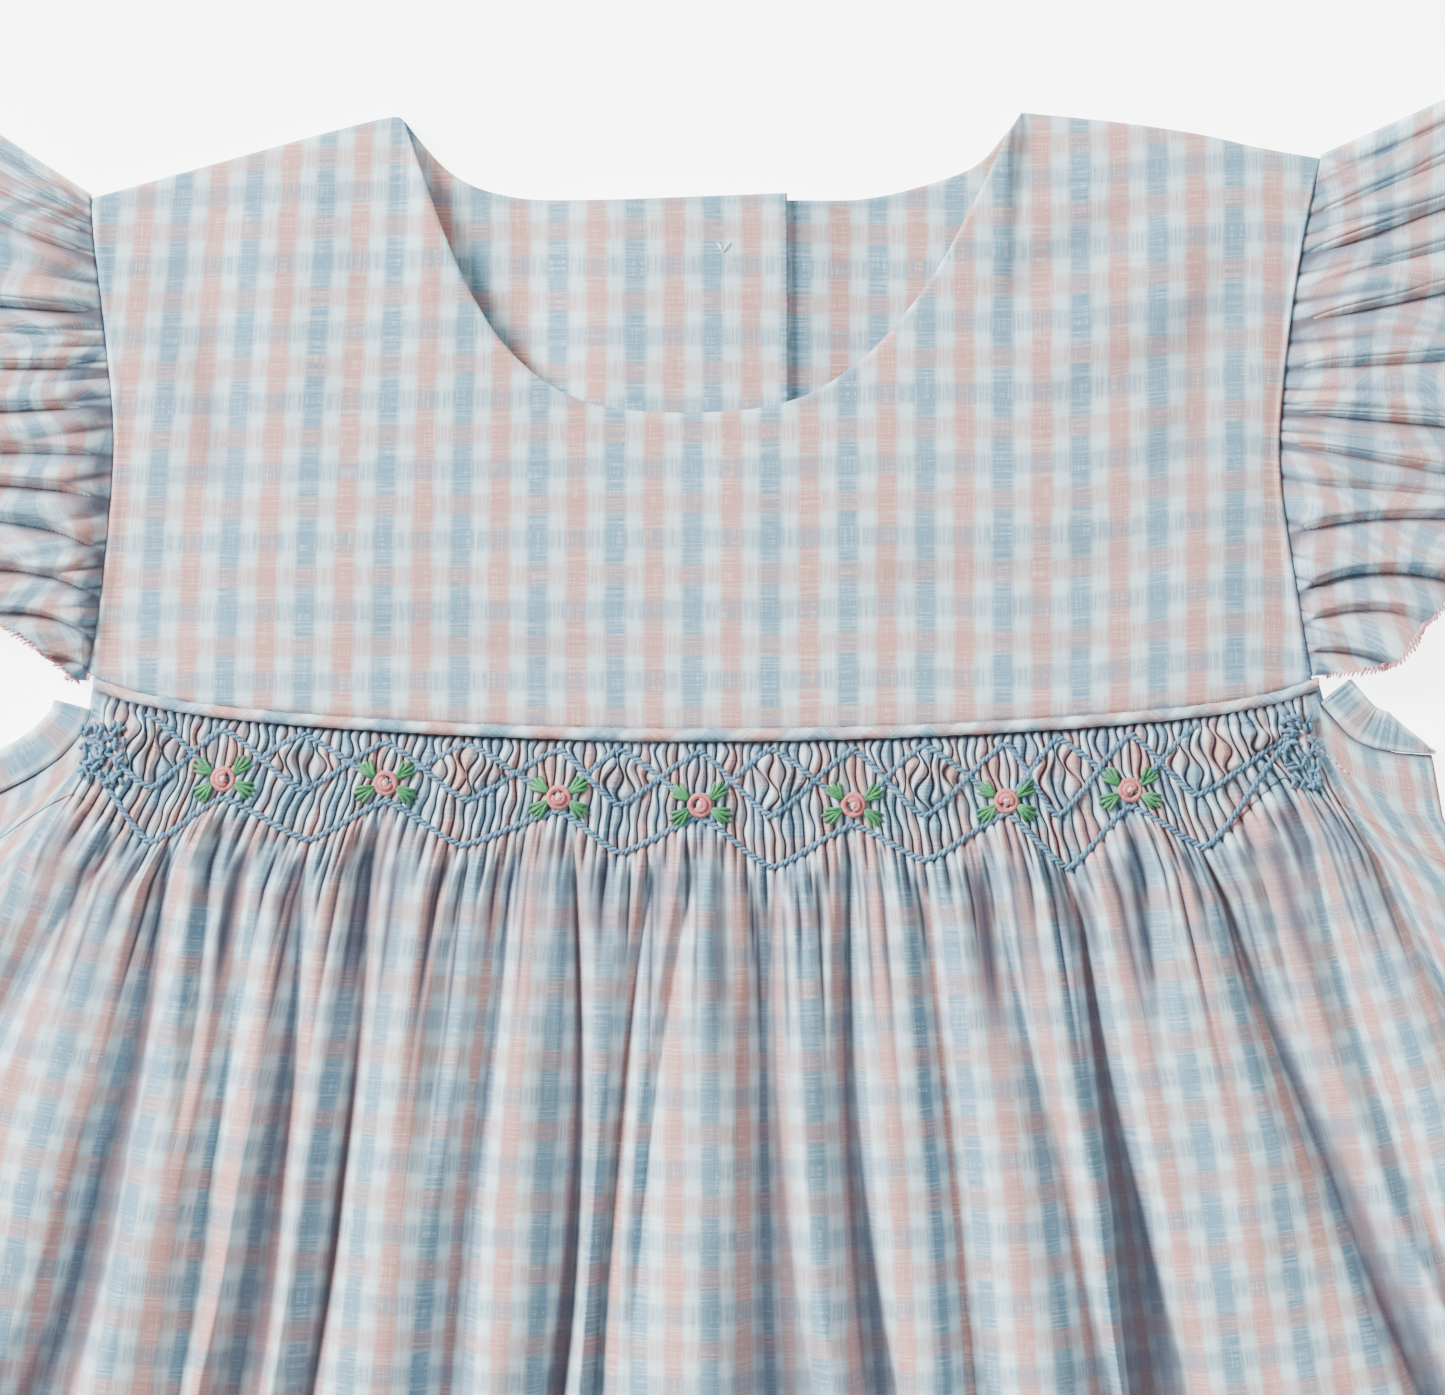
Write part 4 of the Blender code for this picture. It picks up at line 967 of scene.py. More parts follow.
def smocked_band(valleys, material):
    """Smocked band: close pleats, pinched by the threads and looser in the ovals."""
    lines = thread_lines()
    share = fine_shares()
    drop = np.linspace(0.0, 1.0, 44)[:, None]
    x, y = band_point(share, drop)
    start = band_top(share)
    number = pleat_number(share)
    inside = ease((SMOCKED_SHARE - np.abs(share)) * SMOCKED_FADE)
    oval = (ease((swing(lines["crossing"], x, THREAD_STRAIGHT) - y) / 1.5)
            * ease((y - swing(lines["upper"], x, THREAD_STRAIGHT)) / 1.5))
    pinch = np.zeros(x.shape)
    for rows in lines.values():
        gap = (y - swing(rows, x, THREAD_STRAIGHT)) / 0.7
        pinch = np.maximum(pinch, np.exp(-gap * gap))
    below = ease((swing(lines["upper"], x, THREAD_STRAIGHT) - y) / 2.0)
    zigzag = np.cos(np.pi * number) * np.sin(2.0 * np.pi * (start - y) / 6.5 + 0.2 * number)
    slant = np.sin(number * 0.53 + (start - y) * 0.5) + np.sin(number * 1.37 - (start - y) * 0.8)
    moved = (0.16 + 0.26 * oval) * zigzag + (0.34 + 0.2 * oval) * slant * (1.0 - 0.5 * below)
    x = x + moved * inside * ease((start - y) / 2.0) * ease((1.0 - drop) * 4.0)
    base = BAND_CREST + (CREST_HEIGHTS[0][1] - BAND_CREST) * drop
    base = base * (1.0 - np.abs(share) ** 8)
    raised, shade = pleated(share, 0.0 * y, 0.3 * oval)
    tucked = np.exp(-((start - y) / 0.9) ** 2)
    z = FRONT_LOW + base + raised * (1.0 - 0.35 * pinch) + 0.4 * oval - 0.8 * tucked
    # Painted shade: the strip tucked under the piping is darkened as well as lowered
    shade = np.maximum(shade, 0.9 * tucked)
    cloth = stacked(cloth_across(valleys, share, 0.0), y - start)
    band = laid_cloth("smocked_band", x, y, z, cloth, material, shade, coarse=3)
    keep(band, ["front_body"])
    return band


def cloth_across(valleys, share, drop):
    """Cloth's own place across the panel: true to scale on each fold, hurried at its sides."""
    low, high = fold_edges(valleys, share, drop)
    true = np.clip(width_at(drop) / CLOTH_ACROSS * 1.08, 0.0, 1.0)
    t = np.clip((share - low) / np.maximum(high - low, LEAST_STEP), 0.0, 1.0)
    bent = 0.5 + 0.5 * np.sign(2.0 * t - 1.0) * np.abs(2.0 * t - 1.0) ** 5
    return CLOTH_ACROSS * (low + (high - low) * (true * t + (1.0 - true) * bent))


def skirt(valleys, material):
    """Skirt that falls in gathers and then deep folds from the smocking to the leg openings."""
    length = float(wave_y(0.0)) - CROTCH_Y
    share = fine_shares()
    near = np.linspace(0.0, GATHERED_LENGTH / length, 34)
    far = np.linspace(GATHERED_LENGTH / length, 1.0, 72)[1:]
    drop = np.concatenate([near, far])[:, None]
    x, y = skirt_point(share, drop)
    height, crease_and_painted_shade = skirt_height(valleys, share, drop)
    gathers, shade = pleated(share, drop * length, 0.0)
    flow = 1.0 - np.abs(share) ** 6
    low = np.minimum(1.0, drop * 8.0)
    wander = ripple(share * 120.0, drop * 60.0, 21, 30.0) * low
    soft = ripple(share * 260.0, drop * 90.0, 5, 22.0) * low
    height = height * (1.0 + 0.12 * wander) + 0.6 * soft * (1.0 - crease_and_painted_shade) * flow
    hem = 0.9 * np.abs(np.sin(share * 95.0 + 2.0 * np.sin(share * 13.0)))
    height = height + hem * ease((drop - 0.86) / 0.14) * flow * ease((1.0 - drop) / 0.05)
    z = FRONT_LOW + np.maximum(height + gathers * (1.0 - 0.6 * crease_and_painted_shade), 0.0)
    z = z - 0.25 * ease((0.006 - drop) / 0.006)
    first = band_top(share) - y[:1]
    steps = np.hypot(np.diff(x, axis=0), np.diff(y, axis=0))
    fall = np.concatenate([first, first + np.cumsum(steps, axis=0)])
    cloth = stacked(cloth_across(valleys, share, drop), -fall)
    # Painted shade of the folds' valleys and flanks and of the gathers' valleys
    dark = np.maximum(crease_and_painted_shade * 0.8, shade)
    piece = laid_cloth("gathered_skirt", x, y, z, cloth, material, dark, coarse=5)
    keep(piece, ["front_body"])
    return piece


def back_body(material):
    """Back of the body, flat on the surface."""
    share = np.linspace(-1.0, 1.0, 141)[None, :]
    upper = band_point(share, np.linspace(0.0, 1.0, 14)[:-1, None])
    lower = skirt_point(share, np.linspace(0.0, 1.0, 90)[:, None])
    x, y = (np.concatenate(parts) for parts in zip(upper, lower))
    under_piping = seam_y(x[0]) + SEAM_CLEARANCE - SEAM_CLOSED
    y[0] = np.where(np.abs(x[0]) <= PIPING_END, under_piping, y[0])
    cloth = stacked(x + 3.0, y + 1.0)
    outer = stacked(x, y, BACK_TOP)
    under = stacked(x, y, 0.0 * x)
    piece = two_skins("body_back", outer, under, cloth, cloth, material)
    keep(piece, ["back_body"])


# Sleeves


def sleeve_plan(sleeve, armhole, share, reach):
    """Place on a sleeve: share up its seam and hem, reach from seam to hem."""
    seam = along(armhole, share)
    hem = along(sleeve["hem"], share)
    bow = 0.06 * np.sin(np.pi * reach)
    x = seam[..., 0] + (hem[..., 0] - seam[..., 0]) * (reach + bow)
    y = seam[..., 1] + (hem[..., 1] - seam[..., 1]) * reach
    return x, y


def sleeve_height(sleeve, share, reach, seed):
    """Height of a sleeve's gathers, tight at the seam and full at the hem, and their painted shade.
    """
    crest = SLEEVE_LIFT_SEAM * ease(reach * 7.0) + (SLEEVE_LIFT_HEM - SLEEVE_LIFT_SEAM) * reach
    edge = 1.0 - np.clip(2.0 * np.abs(share - 0.5), 0.0, 1.0) ** 6
    height = crest * edge
    painted_shade = np.zeros(height.shape)
    width = GATHER_SEAM_REACH + (GATHER_HEM_REACH - GATHER_SEAM_REACH) * reach
    for row in sleeve["gathers"]:
        gather = dict(zip(SLEEVE_COLUMNS, row))
        place = gather["share"] + gather["drift"] * reach * (2.0 - reach)
        offset = share - place
        near = 1.0 - np.clip(np.where(offset > 0, offset * 2.2, -offset * 0.8) / width, 0.0, 1.0)
        height = height * (1.0 - gather["depth"] * near * near)
        power = np.where(offset > 0, 3.0, 1.6) * (0.4 + 0.6 * np.minimum(1.0, reach * 5.0))
        # Painted shade: dark in each gather's valley and, by the sleeve's shade, broad below it
        wide = 1.0 - np.clip(np.where(offset > 0, offset * 1.6, -offset * 0.42) / width, 0.0, 1.0)
        painted_shade = np.maximum(painted_shade, gather["depth"] * np.maximum(near ** power, sleeve["shade"] * wide))
    count = share * SLEEVE_TUCKS + 1.7 * np.sin(share * 19.0 + seed)
    fine = np.abs(np.sin(count))
    tuck = np.exp(-reach * (5.0 + 2.5 * np.sin(share * 61.0 + seed))) * edge
    height = height + TUCK_HEIGHT * fine ** 0.8 * tuck * ease(reach * 9.0 + 0.2)
    pulled = painted_shade * (0.85 + 0.5 * np.exp(-reach * 6.0))
    # Painted shade in the fine tucks and along the seam
    painted_shade = np.maximum(pulled, 1.15 * (1.0 - fine) ** 1.3 * tuck)
    painted_shade = np.clip(np.maximum(painted_shade, 0.25 * np.exp(-reach * 30.0)), 0.0, 1.0)
    soft = ripple(share * 90.0, reach * 40.0, seed, 26.0)
    return np.maximum(height * (1.0 + 0.12 * soft * reach), 0.0), painted_shade


def flutter_sleeve(name, node, sleeve, armhole, seed, material):
    """Flutter sleeve folded at the shoulder, its gathered front over its flat back."""
    rows = 61
    reach = (np.linspace(0.0, 1.0, rows) ** 1.2)[:, None]
    front = np.linspace(0.0, 1.0, 341)[None, :]
    back = np.linspace(1.0, 0.0, 41)[None, :]
    x, y = sleeve_plan(sleeve, armhole, front, reach)
    height, painted_shade = sleeve_height(sleeve, front, reach, seed)
    z = FRONT_LOW + height
    inset_x, inset_y = sleeve_plan(sleeve, armhole, front * SLEEVE_INSET, reach)
    fold_x = x[:, -1:]
    fold_y = y[:, -1:] + FOLD_BULGE
    back_x, back_y = sleeve_plan(sleeve, armhole, back, reach)
    under_x, under_y = sleeve_plan(sleeve, armhole, back * SLEEVE_INSET, reach)
    outer = np.concatenate([stacked(x, y, z), stacked(fold_x, fold_y, FRONT_LOW / 2),
                            stacked(back_x, back_y, 0.0 * back_x)], axis=1)
    inner = np.concatenate([stacked(inset_x, inset_y, z - COTTON * 1.5),
                            stacked(inset_x[:, -1:], inset_y[:, -1:], BACK_TOP),
                            stacked(under_x, under_y, COTTON * 1.5)], axis=1)
    hem_turns = along(sleeve["hem"], front[0])
    hem_run = np.concatenate([[0.0], np.cumsum(np.hypot(*np.diff(hem_turns, axis=0).T))])
    run = np.concatenate([hem_run, [hem_run[-1]], hem_run[-1] + np.linspace(0, hem_run[-1], 41)])
    span = np.hypot(x - x[:1], y - y[:1])
    span = np.concatenate([span, span[:, -1:], np.hypot(back_x - back_x[:1], back_y - back_y[:1])],
                          axis=1)
    wave_u = 3.0 * ripple(run[None, :], span, seed + 3, 30.0)
    wave_v = 5.0 * ripple(run[None, :], span, seed + 6, 34.0)
    cloth = stacked(span + wave_u, run[None, :] * 1.15 + wave_v)
    # Painted shade only on the gathered front
    crease_and_painted_shade = np.concatenate([painted_shade * 0.9, np.zeros((rows, 42))], axis=1)
    piece = two_skins(name, outer, inner, cloth, cloth, material, crease_and_painted_shade)
    keep(piece, [node])
    return x[-1], y[-1], z[-1]


# Bindings and bands


def offset_points(edge, distance, side):
    """Edge points moved out of the cloth, with the directions that they moved in."""
    ahead = np.gradient(edge, axis=0)
    ahead /= np.linalg.norm(ahead, axis=1)[:, None]
    normals = stacked(-ahead[:, 1] * side, ahead[:, 0] * side)
    return edge + normals * distance, normals


def folded_strip(name, points, normals, high, low, width, thick, swell, turns, material,
                 tip_share=1.0):
    """Strip that runs along its front layer, turns under at one end or both, and runs back.

    With one turn it narrows towards the turn, over a share of its length."""
    tip = points[-1] - points[-2]
    tip = tip / np.linalg.norm(tip) * STRIP_TIP
    centre = [(*p, h) for p, h in zip(points, high)]
    across = list(normals)
    out = [(0.0, 0.0, 1.0)] * len(points)
    middle = (high[-1] + low) / 2
    centre.append((*(points[-1] + tip), middle))
    across.append(normals[-1])
    unit = tip / np.linalg.norm(tip)
    out.append((unit[0], unit[1], 0.0))
    for p, n in zip(points[::-1], normals[::-1]):
        centre.append((*p, low))
        across.append(n)
        out.append((0.0, 0.0, -1.0))
    if turns == 2:
        back = points[0] - points[1]
        back = back / np.linalg.norm(back)
        centre.append((*(points[0] + back * STRIP_BACK), (high[0] + low) / 2))
        across.append(normals[0])
        out.append((back[0], back[1], 0.0))
    turn = np.linspace(0.0, 2.0 * math.pi, STRIP_SECTION, endpoint=False)
    sides = np.sign(np.cos(turn)) * np.abs(np.cos(turn)) ** 0.6 * width / 2
    lifts = np.sign(np.sin(turn)) * np.abs(np.sin(turn)) ** 0.8 * thick / 2
    rings = []
    cloth = []
    run = 0.0
    for index, (c, a, o) in enumerate(zip(centre, across, out)):
        grow = 1.0 + swell[index % len(swell)]
        from_tip = abs(index - len(points)) / len(points)
        narrow = 1.0
        if turns == 1:
            narrow = 1.0 - 0.88 * max(0.0, 1.0 - from_tip / tip_share) ** 1.5
        a3 = np.array((a[0], a[1], 0.0))
        spread = narrow * sides + (narrow - 1.0) * width / 2
        ring = np.array(c) + spread[:, None] * a3 + lifts[:, None] * np.array(o) * grow
        rings.append(ring)
        if index:
            run += float(np.linalg.norm(np.array(c) - np.array(centre[index - 1])))
        cloth.append(stacked(sides, run))
    points3 = np.concatenate(rings)
    faces = []
    tube_faces(len(rings), STRIP_SECTION, faces, joined=turns == 2)
    points3[:, 2] = np.maximum(points3[:, 2], 0.0)
    return finish_mesh(name, points3, faces, material, np.concatenate(cloth))


def armhole_bindings(material):
    """Bias bindings round the feet of the armholes."""
    for label, side in (("left", -1), ("right", 1)):
        share = np.linspace(BINDING_START, BINDING_END, 60)
        edge = along(EDGE_LEFT if side < 0 else EDGE_RIGHT, share)
        points, normals = offset_points(edge, BINDING_CLEARANCE + BINDING_WIDTH / 2, side)
        low = BINDING_THICK / 2
        high = low + BINDING_THICK + 2 * SEAM_GAP + np.linspace(1.0, 0.0, 60)
        swell = 0.18 * np.sin(np.arange(60) * 1.3) * np.sin(np.arange(60) * 0.31)
        piece = folded_strip(f"binding_{label}", points, normals, high, low, BINDING_WIDTH,
                             BINDING_THICK, swell, 1, material, BINDING_TIPS[label])
        keep(piece, [f"armhole_binding_{label}"])


def leg_bands(material):
    """Elastic bands round the leg openings, gathered fine."""
    for label, side in (("left", -1), ("right", 1)):
        place = 1.0 - (1.0 - CROTCH_SHARE) * np.linspace(0.0, 1.0, 180)
        edge = stacked(*skirt_point(side * place, 1.0))
        points, normals = offset_points(edge, SEAM_GAP + LEG_BAND_WIDTH / 2, side)
        low = LEG_BAND_THICK / 2
        rise = LEG_BAND_RISE * np.sin(np.pi * np.linspace(0.0, 1.0, 180))
        high = low + LEG_BAND_THICK + 2 * SEAM_GAP + rise
        swell = 0.28 * np.sin(np.arange(180) * 1.9) + 0.12 * np.sin(np.arange(180) * 0.7)
        piece = folded_strip(f"leg_elastic_{label}", points, normals, high, low, LEG_BAND_WIDTH,
                             LEG_BAND_THICK, swell, 2, material)
        keep(piece, [f"leg_band_{label}"])


def crotch_bands(material):
    """Straight bands that close the crotch."""
    half = CROTCH_SHARE * float(half_width(SIDE_FOOT_Y)) - 1.0
    for label, base in (("back", 0.0), ("front", 1.8)):
        x = np.linspace(-half, half, 60)[None, :]
        y = (CROTCH_Y - SEAM_GAP - np.linspace(0.0, 9.0, 14))[:, None]
        edge = np.minimum(1.0, np.minimum(half - np.abs(x), np.minimum(
            CROTCH_Y - SEAM_GAP - y, y - CROTCH_Y + SEAM_GAP + 9.0)) / 0.8 + 0.45)
        outer = stacked(x, y, base + 1.5 * edge)
        inner = stacked(x, y, base)
        cloth = stacked(x, y)
        piece = two_skins(f"crotch_{label}", outer, inner, cloth, cloth, material)
        keep(piece, [f"crotch_band_{label}"])


def buttons(shell, thread):
    """Four-hole buttons with a raised rim, under the laps of the back opening."""
    around = 40
    for name, y in BUTTONS:
        points = []
        for radius, height in BUTTON_PROFILE:
            for step in range(around):
                turn = 2.0 * math.pi * step / around
                points.append((BUTTON_X + radius * BUTTON_RADIUS * math.cos(turn),
                               y + radius * BUTTON_RADIUS * math.sin(turn),
                               height * BUTTON_THICK))
        numbers = np.arange(len(points)).reshape(len(BUTTON_PROFILE), around)
        faces = []
        grid_faces(np.concatenate([numbers, numbers[:, :1]], axis=1), faces)
        piece = finish_mesh(f"{name}_shell", points, faces, shell, merged=True)
        keep(piece, [name])
        lines = []
        for dx, dy in ((-0.9, 0.9), (0.9, 0.9)):
            lines.append(((BUTTON_X + dx, y + dy, 0.9), (BUTTON_X - dx, y - dy, 0.9)))
        stitch_set(f"{name}_thread", lines, 0.22, thread)


# Embroidery


def capsule(start, end, radius, points, faces, sides=6, bow=0.0):
    """Stitch between two points: a tube that narrows at its ends and may bow upwards."""
    start = np.array(start)
    end = np.array(end)
    ahead = end - start
    length = np.linalg.norm(ahead)
    ahead = ahead / length
    across = np.cross(ahead, (0.0, 0.0, 1.0))
    across = across / max(np.linalg.norm(across), 1e-6)
    up = np.cross(across, ahead)
    first = len(points)
    shares = ((0.0, 0.45), (0.14, 0.92), (0.5, 1.0), (0.86, 0.92), (1.0, 0.45))
    for share, swell in shares:
        centre = start + ahead * length * share + up * bow * math.sin(math.pi * share)
        for side in range(sides):
            turn = 2.0 * math.pi * side / sides
            points.append(centre + (across * math.cos(turn) + up * math.sin(turn))
                          * radius * swell)
    tube_faces(len(shares), sides, faces, first)


def stitch_set(name, lines, radius, material, bow=0.0):
    """Several separate stitches as one piece."""
    points = []
    faces = []
    for start, end in lines:
        capsule(start, end, radius, points, faces, bow=bow)
    piece = finish_mesh(name, points, faces, material)
    return keep(piece)


def rope_tree(material):
    """Geometry nodes: slanting stitches along a line, each over the one before."""
    tree = bpy.data.node_groups.new("slanting stitches", "GeometryNodeTree")
    tree.interface.new_socket("Geometry", in_out="INPUT", socket_type="NodeSocketGeometry")
    sizes = {}
    for name in SMOCKING_ROPE:
        socket = tree.interface.new_socket(name, in_out="INPUT", socket_type="NodeSocketFloat")
        sizes[name] = socket.identifier
    tree.interface.new_socket("Geometry", in_out="OUTPUT", socket_type="NodeSocketGeometry")
    given = tree.nodes.new("NodeGroupInput").outputs

    def add(kind, inputs, settings=None, output=0):
        return add_node(tree, kind, settings, inputs).outputs[output]

    line = add("GeometryNodeMeshToCurve", {0: given["Geometry"]})
    evened = add("GeometryNodeResampleCurve", {"Curve": line, "Length": given["Spacing"]},
                 {"mode": "LENGTH"})
    ball = add("GeometryNodeMeshUVSphere", {"Segments": 8, "Rings": 6, "Radius": 0.5})
    shape = add("ShaderNodeCombineXYZ",
                {"X": given["Length"], "Y": given["Width"], "Z": given["Width"]})
    stitch = add("GeometryNodeTransform", {"Geometry": ball, "Scale": shape})
    aligned = add("FunctionNodeAlignRotationToVector",
                  {"Vector": add("GeometryNodeInputTangent", {})}, {"axis": "X"})
    slant = add("FunctionNodeAxisAngleToRotation",
                {"Axis": (0.0, 0.0, 1.0), "Angle": given["Slant"]})
    turned = add("FunctionNodeRotateRotation", {0: aligned, 1: slant},
                 {"rotation_space": "LOCAL"})
    low, high = (add("ShaderNodeMath", {0: 1.0, 1: given["Uneven"]}, {"operation": operation})
                 for operation in ("SUBTRACT", "ADD"))
    spread = add("FunctionNodeRandomValue", {"Seed": 7, 2: low, 3: high},
                 {"data_type": "FLOAT"}, 1)
    placed = add("GeometryNodeInstanceOnPoints", {"Points": evened, "Instance": stitch,
                                                  "Rotation": turned, "Scale": spread})
    real = add("GeometryNodeRealizeInstances", {0: placed})
    smooth = add("GeometryNodeSetShadeSmooth", {"Geometry": real})
    dressed = add("GeometryNodeSetMaterial", {"Geometry": smooth, "Material": material})
    tree.links.new(dressed, tree.nodes.new("NodeGroupOutput").inputs[0])
    return tree, sizes


def stitched_line(name, rope, points, sizes, material):
    """Row of slanting stitches along points in millimetres, made into a plain mesh."""
    tree, sockets = rope
    mesh = bpy.data.meshes.new(name)
    count = len(points)
    mesh.from_pydata([tuple(v * MM for v in p) for p in points],
                     [(i, i + 1) for i in range(count - 1)], [])
    guide = bpy.data.objects.new(f"{name}_guide", mesh)
    bpy.context.scene.collection.objects.link(guide)
    modifier = guide.modifiers.new("stitches", "NODES")
    modifier.node_group = tree
    for key, value in sizes.items():
        scale = 1.0 if key in ("Slant", "Uneven") else MM
        modifier[sockets[key]] = value * scale
    graph = bpy.context.evaluated_depsgraph_get()
    made = bpy.data.meshes.new_from_object(guide.evaluated_get(graph))
    guide.modifiers.remove(modifier)
    bpy.data.objects.remove(guide)
    made.name = name
    made.materials.clear()
    made.materials.append(material)
    piece = bpy.data.objects.new(name, made)
    bpy.context.scene.collection.objects.link(piece)
    return keep(piece)


class Cloth:
    """Finds the height of a laid piece under a place."""

    def __init__(self, *pieces):
        self.trees = []
        for piece in pieces:
            builder = bmesh.new()
            builder.from_mesh(piece.data)
            self.trees.append(BVHTree.FromBMesh(builder))
            builder.free()

    def height(self, x, y):
        """Height in millimetres of the topmost cloth at a place."""
        best = FRONT_LOW
        for tree in self.trees:
            hit = tree.ray_cast(Vector((x * MM, y * MM, 0.1)), Vector((0.0, 0.0, -1.0)))
            if hit[0] is not None:
                best = max(best, hit[0].z / MM)
        return best

    def crest(self, x, y, reach=0.9):
        """Height of the pleats' crests near a place."""
        return max(self.height(x + shift, y) for shift in (-reach, -reach / 2, 0.0, reach / 2,
                                                          reach))


def smocking_threads(cloth, rope, material):
    """Slanting rows of blue thread that hold the pleats."""
    for name, rows in thread_lines().items():
        xs = np.arange(rows[0][0], rows[-1][0], 0.5)
        ys = swing(rows, xs, THREAD_STRAIGHT)
        heights = np.array([cloth.crest(x, y) for x, y in zip(xs, ys)])
        smooth = np.convolve(np.pad(heights, 3, mode="edge"), np.ones(7) / 7, mode="valid")
        points = list(zip(xs, ys, smooth + THREAD_LIFT))
        stitched_line(f"smocking_{name}", rope, points, SMOCKING_ROPE, material)
    rng = np.random.default_rng(4)
    lines = []
    for left, right, low, high, count in THREAD_ENDS:
        for _ in range(count):
            x = rng.uniform(left, right)
            y = rng.uniform(low, high)
            heading = rng.uniform(-1.2, 1.2) + (0.9 if left < 0 else -0.9)
            reach = rng.uniform(0.7, 1.3)
            z = cloth.crest(x, y) + rng.uniform(0.05, 0.4)
            lines.append(((x - reach * math.cos(heading), y - reach * math.sin(heading), z),
                          (x + reach * math.cos(heading), y + reach * math.sin(heading), z)))
    stitch_set("smocking_ends", lines, 0.4, material, bow=0.3)


def bullion(centre, start, sweep, radius, thick, points, faces):
    """Wrapped bullion stitch laid in an arc."""
    steps = 40
    sides = 8
    first = len(points)
    wraps = abs(sweep) * radius / 0.28
    for step in range(steps + 1):
        share = step / steps
        turn = start + sweep * share
        taper = 1.0 - 0.55 * abs(2.0 * share - 1.0) ** 6
        ridge = thick * taper * (1.0 + 0.12 * math.cos(2.0 * math.pi * wraps * share))
        outward = np.array((math.cos(turn), math.sin(turn), 0.0))
        middle = np.array(centre) + outward * radius
        for side in range(sides):
            angle = 2.0 * math.pi * side / sides
            points.append(middle + outward * math.cos(angle) * ridge
                          + np.array((0.0, 0.0, math.sin(angle) * ridge)))
    tube_faces(steps + 1, sides, faces, first)


def flowers(cloth, rose, heart, leaf):
    """Bullion roses with a pair of leaves on either side."""
    for number, (x, y) in enumerate(FLOWERS):
        z = cloth.crest(x, y, 1.6)
        spin = 0.9 * number
        points = []
        faces = []
        for start, sweep, radius, lift in ROSE_ARCS:
            bullion((x, y, z + lift), start + spin, sweep, radius, 0.55, points, faces)
        keep(finish_mesh(f"rose_{number + 1}", points, faces, rose))
        points = []
        faces = []
        bullion((x, y, z + 0.95), spin, 5.8, 0.24, 0.46, points, faces)
        capsule((x - 0.3, y, z + 1.2), (x + 0.3, y, z + 1.2), 0.32, points, faces)
        capsule((x - 0.5, y, z + 0.1), (x + 0.5, y, z + 0.1), 0.95, points, faces, sides=10)
        keep(finish_mesh(f"rose_heart_{number + 1}", points, faces, heart))
        lines = []
        for side in (-1, 1):
            for heading, root_y, reach in LEAVES:
                turn = heading + 0.16 * math.sin(number * 2.3 + side)
                for fan in LEAF_FAN:
                    root = (x + side * 1.9, y + root_y)
                    out = reach * (1.0 - 0.9 * fan * fan)
                    tip = (root[0] + side * out * math.cos(turn + fan),
                           root[1] + out * math.sin(turn + fan))
                    tip_z = cloth.crest(*tip) + THREAD_LIFT
                    lines.append(((*root, z + 0.45), (*tip, tip_z)))
        stitch_set(f"leaves_{number + 1}", lines, 0.38, leaf, bow=0.35)


def hem_stitches(label, hem, rope, material, seed):
    """Pink rolled hem of a sleeve: close stitches over its edge."""
    x, y, z = hem
    points = list(zip(x[::2], y[::2], z[::2] - 0.1))
    stitched_line(f"sleeve_hem_{label}", rope, points, HEM_ROPE, material)
    rng = np.random.default_rng(seed)
    lines = []
    for _ in range(16):
        px = x[0] + rng.uniform(-2.2, 2.2)
        py = y[0] + rng.uniform(-0.6, 2.0)
        heading = rng.uniform(0.0, math.pi)
        pz = z[0] + rng.uniform(0.0, 0.6)
        lines.append(((px, py, pz), (px + 1.3 * math.cos(heading), py + 1.3 * math.sin(heading),
                                     pz + 0.2)))
    stitch_set(f"sleeve_end_{label}", lines, 0.24, material, bow=0.2)


def side_stitches(cloth, material):
    """White stitches beside the smocking, where the binding is sewn down."""
    lines = []
    for step in np.linspace(0.0, 1.0, 7):
        x = 109.0 + 6.2 * step
        y = 92.4 - 5.4 * step
        z = cloth.crest(x, y) + 0.1
        lines.append(((x - 0.35, y + 0.3, z), (x + 0.35, y - 0.3, z)))
    stitch_set("side_stitches", lines, 0.16, material, bow=0.1)


def button_tack(material):
    """Thread tack that shows where the top button is sewn on."""
    y = BUTTONS[0][1]
    z = LAP_LEFT_LIFT + WALL + 0.1
    lines = [((1.9, y + 0.9, z), (3.0, y - 0.9, z)), ((3.0, y - 0.9, z), (4.4, y + 1.0, z)),
             ((2.3, y + 0.7, z), (3.1, y - 0.6, z))]
    stitch_set("button_tack", lines, 0.14, material, bow=0.1)


# Studio


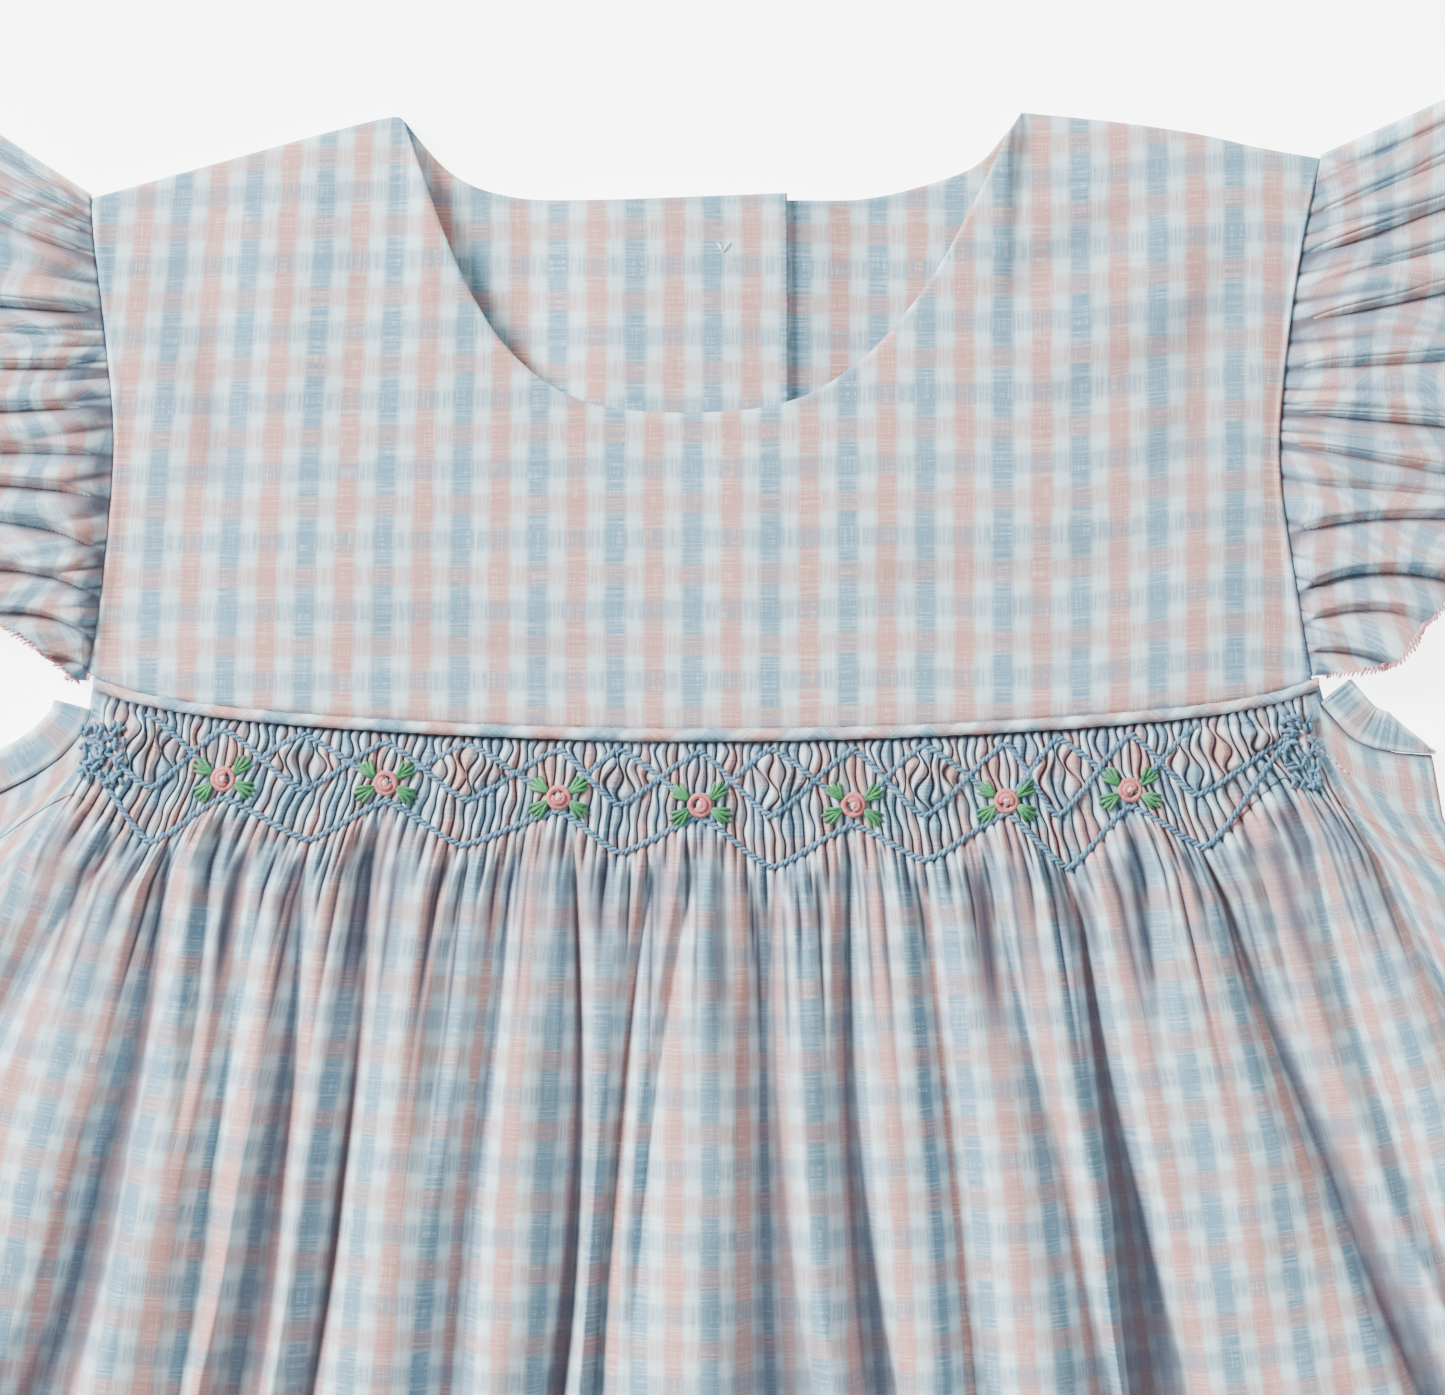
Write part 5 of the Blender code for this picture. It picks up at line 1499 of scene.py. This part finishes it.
def studio():
    """White table, soft light from the upper left, and the camera straight above."""
    builder = bmesh.new()
    bmesh.ops.create_grid(builder, x_segments=1, y_segments=1, size=TABLE_HALF_WIDTH)
    mesh = bpy.data.meshes.new("table")
    builder.to_mesh(mesh)
    builder.free()
    mesh.materials.append(paper_floor("white table"))
    table = bpy.data.objects.new("table", mesh)
    for vertex in mesh.vertices:
        vertex.co.z = TABLE_LEVEL
    bpy.context.scene.collection.objects.link(table)
    for name, place, size, energy in LIGHTS:
        lamp = bpy.data.lights.new(name, "AREA")
        lamp.energy = energy
        lamp.size = size
        light = bpy.data.objects.new(name, lamp)
        light.location = place
        aim = LIGHT_AIM - Vector(place)
        light.rotation_euler = aim.to_track_quat("-Z", "Y").to_euler()
        bpy.context.scene.collection.objects.link(light)
    world = bpy.data.worlds.new("studio")
    world.use_nodes = True
    background = world.node_tree.nodes["Background"]
    background.inputs["Color"].default_value = (1.0, 1.0, 1.0, 1.0)
    background.inputs["Strength"].default_value = WORLD_STRENGTH
    bpy.context.scene.world = world
    lens = bpy.data.cameras.new("camera")
    lens.lens = LENS
    lens.sensor_width = SENSOR
    lens.sensor_fit = "HORIZONTAL"
    lens.clip_end = 20.0
    camera = bpy.data.objects.new("camera", lens)
    across = (PHOTO_WIDTH / 2 - CENTRE_LINE_PIXEL) * MM_PER_PIXEL * MM
    along_y = (ORIGIN_ROW_PIXEL - PHOTO_HEIGHT / 2) * MM_PER_PIXEL * MM
    frame_width = PHOTO_WIDTH * MM_PER_PIXEL * MM
    camera.location = (across, along_y, EYE_LEVEL * MM + frame_width * LENS / SENSOR)
    bpy.context.scene.collection.objects.link(camera)
    bpy.context.scene.camera = camera


def build():
    """Dress the garment."""
    cotton = checked_cotton("checked cotton")
    bias = checked_cotton("bias-cut check", turn=math.radians(45.0))
    blue = stranded_thread("blue grey thread", srgb(44, 80, 106), srgb(108, 148, 172))
    pink = stranded_thread("rose thread", srgb(156, 76, 84), srgb(212, 134, 130))
    pale = stranded_thread("pale rose thread", srgb(206, 128, 128), srgb(246, 196, 190))
    green = stranded_thread("leaf thread", srgb(16, 76, 40), srgb(70, 152, 92))
    hem_pink = stranded_thread("hem thread", srgb(196, 128, 138), srgb(232, 178, 182))
    white = stranded_thread("white thread", srgb(214, 220, 222), srgb(240, 242, 242))
    shell = polished_button("button shell")
    front_yoke(cotton)
    back_yoke("yoke_back_left", "back_yoke_left", NECK_BACK_LEFT[::-1], SHOULDER_LEFT[::-1], -1,
              LAP_LEFT_EDGE, LAP_LEFT_LIFT, (16.0, 34.0), (-1.2, 1.0), cotton)
    back_yoke("yoke_back_right", "back_yoke_right", NECK_BACK_RIGHT, SHOULDER_RIGHT, 1,
              LAP_RIGHT_EDGE, LAP_RIGHT_LIFT, (14.0, 30.0), (-3.2, 1.6), cotton)
    piping(bias)
    valleys = read_valleys()
    band = smocked_band(valleys, cotton)
    cloth = Cloth(band, skirt(valleys, cotton))
    back_body(cotton)
    rope = rope_tree(blue)
    for label, sleeve, armhole, seed in (("left", SLEEVE_LEFT, ARMHOLE_LEFT, 8),
                                         ("right", SLEEVE_RIGHT, ARMHOLE_RIGHT, 15)):
        hem = flutter_sleeve(f"flutter_{label}", f"sleeve_{label}", sleeve, armhole, seed, cotton)
        hem_stitches(label, hem, rope, hem_pink, seed)
    armhole_bindings(cotton)
    leg_bands(cotton)
    crotch_bands(cotton)
    buttons(shell, white)
    smocking_threads(cloth, rope, blue)
    flowers(cloth, pink, pale, green)
    side_stitches(cloth, white)
    button_tack(white)
    studio()


build()
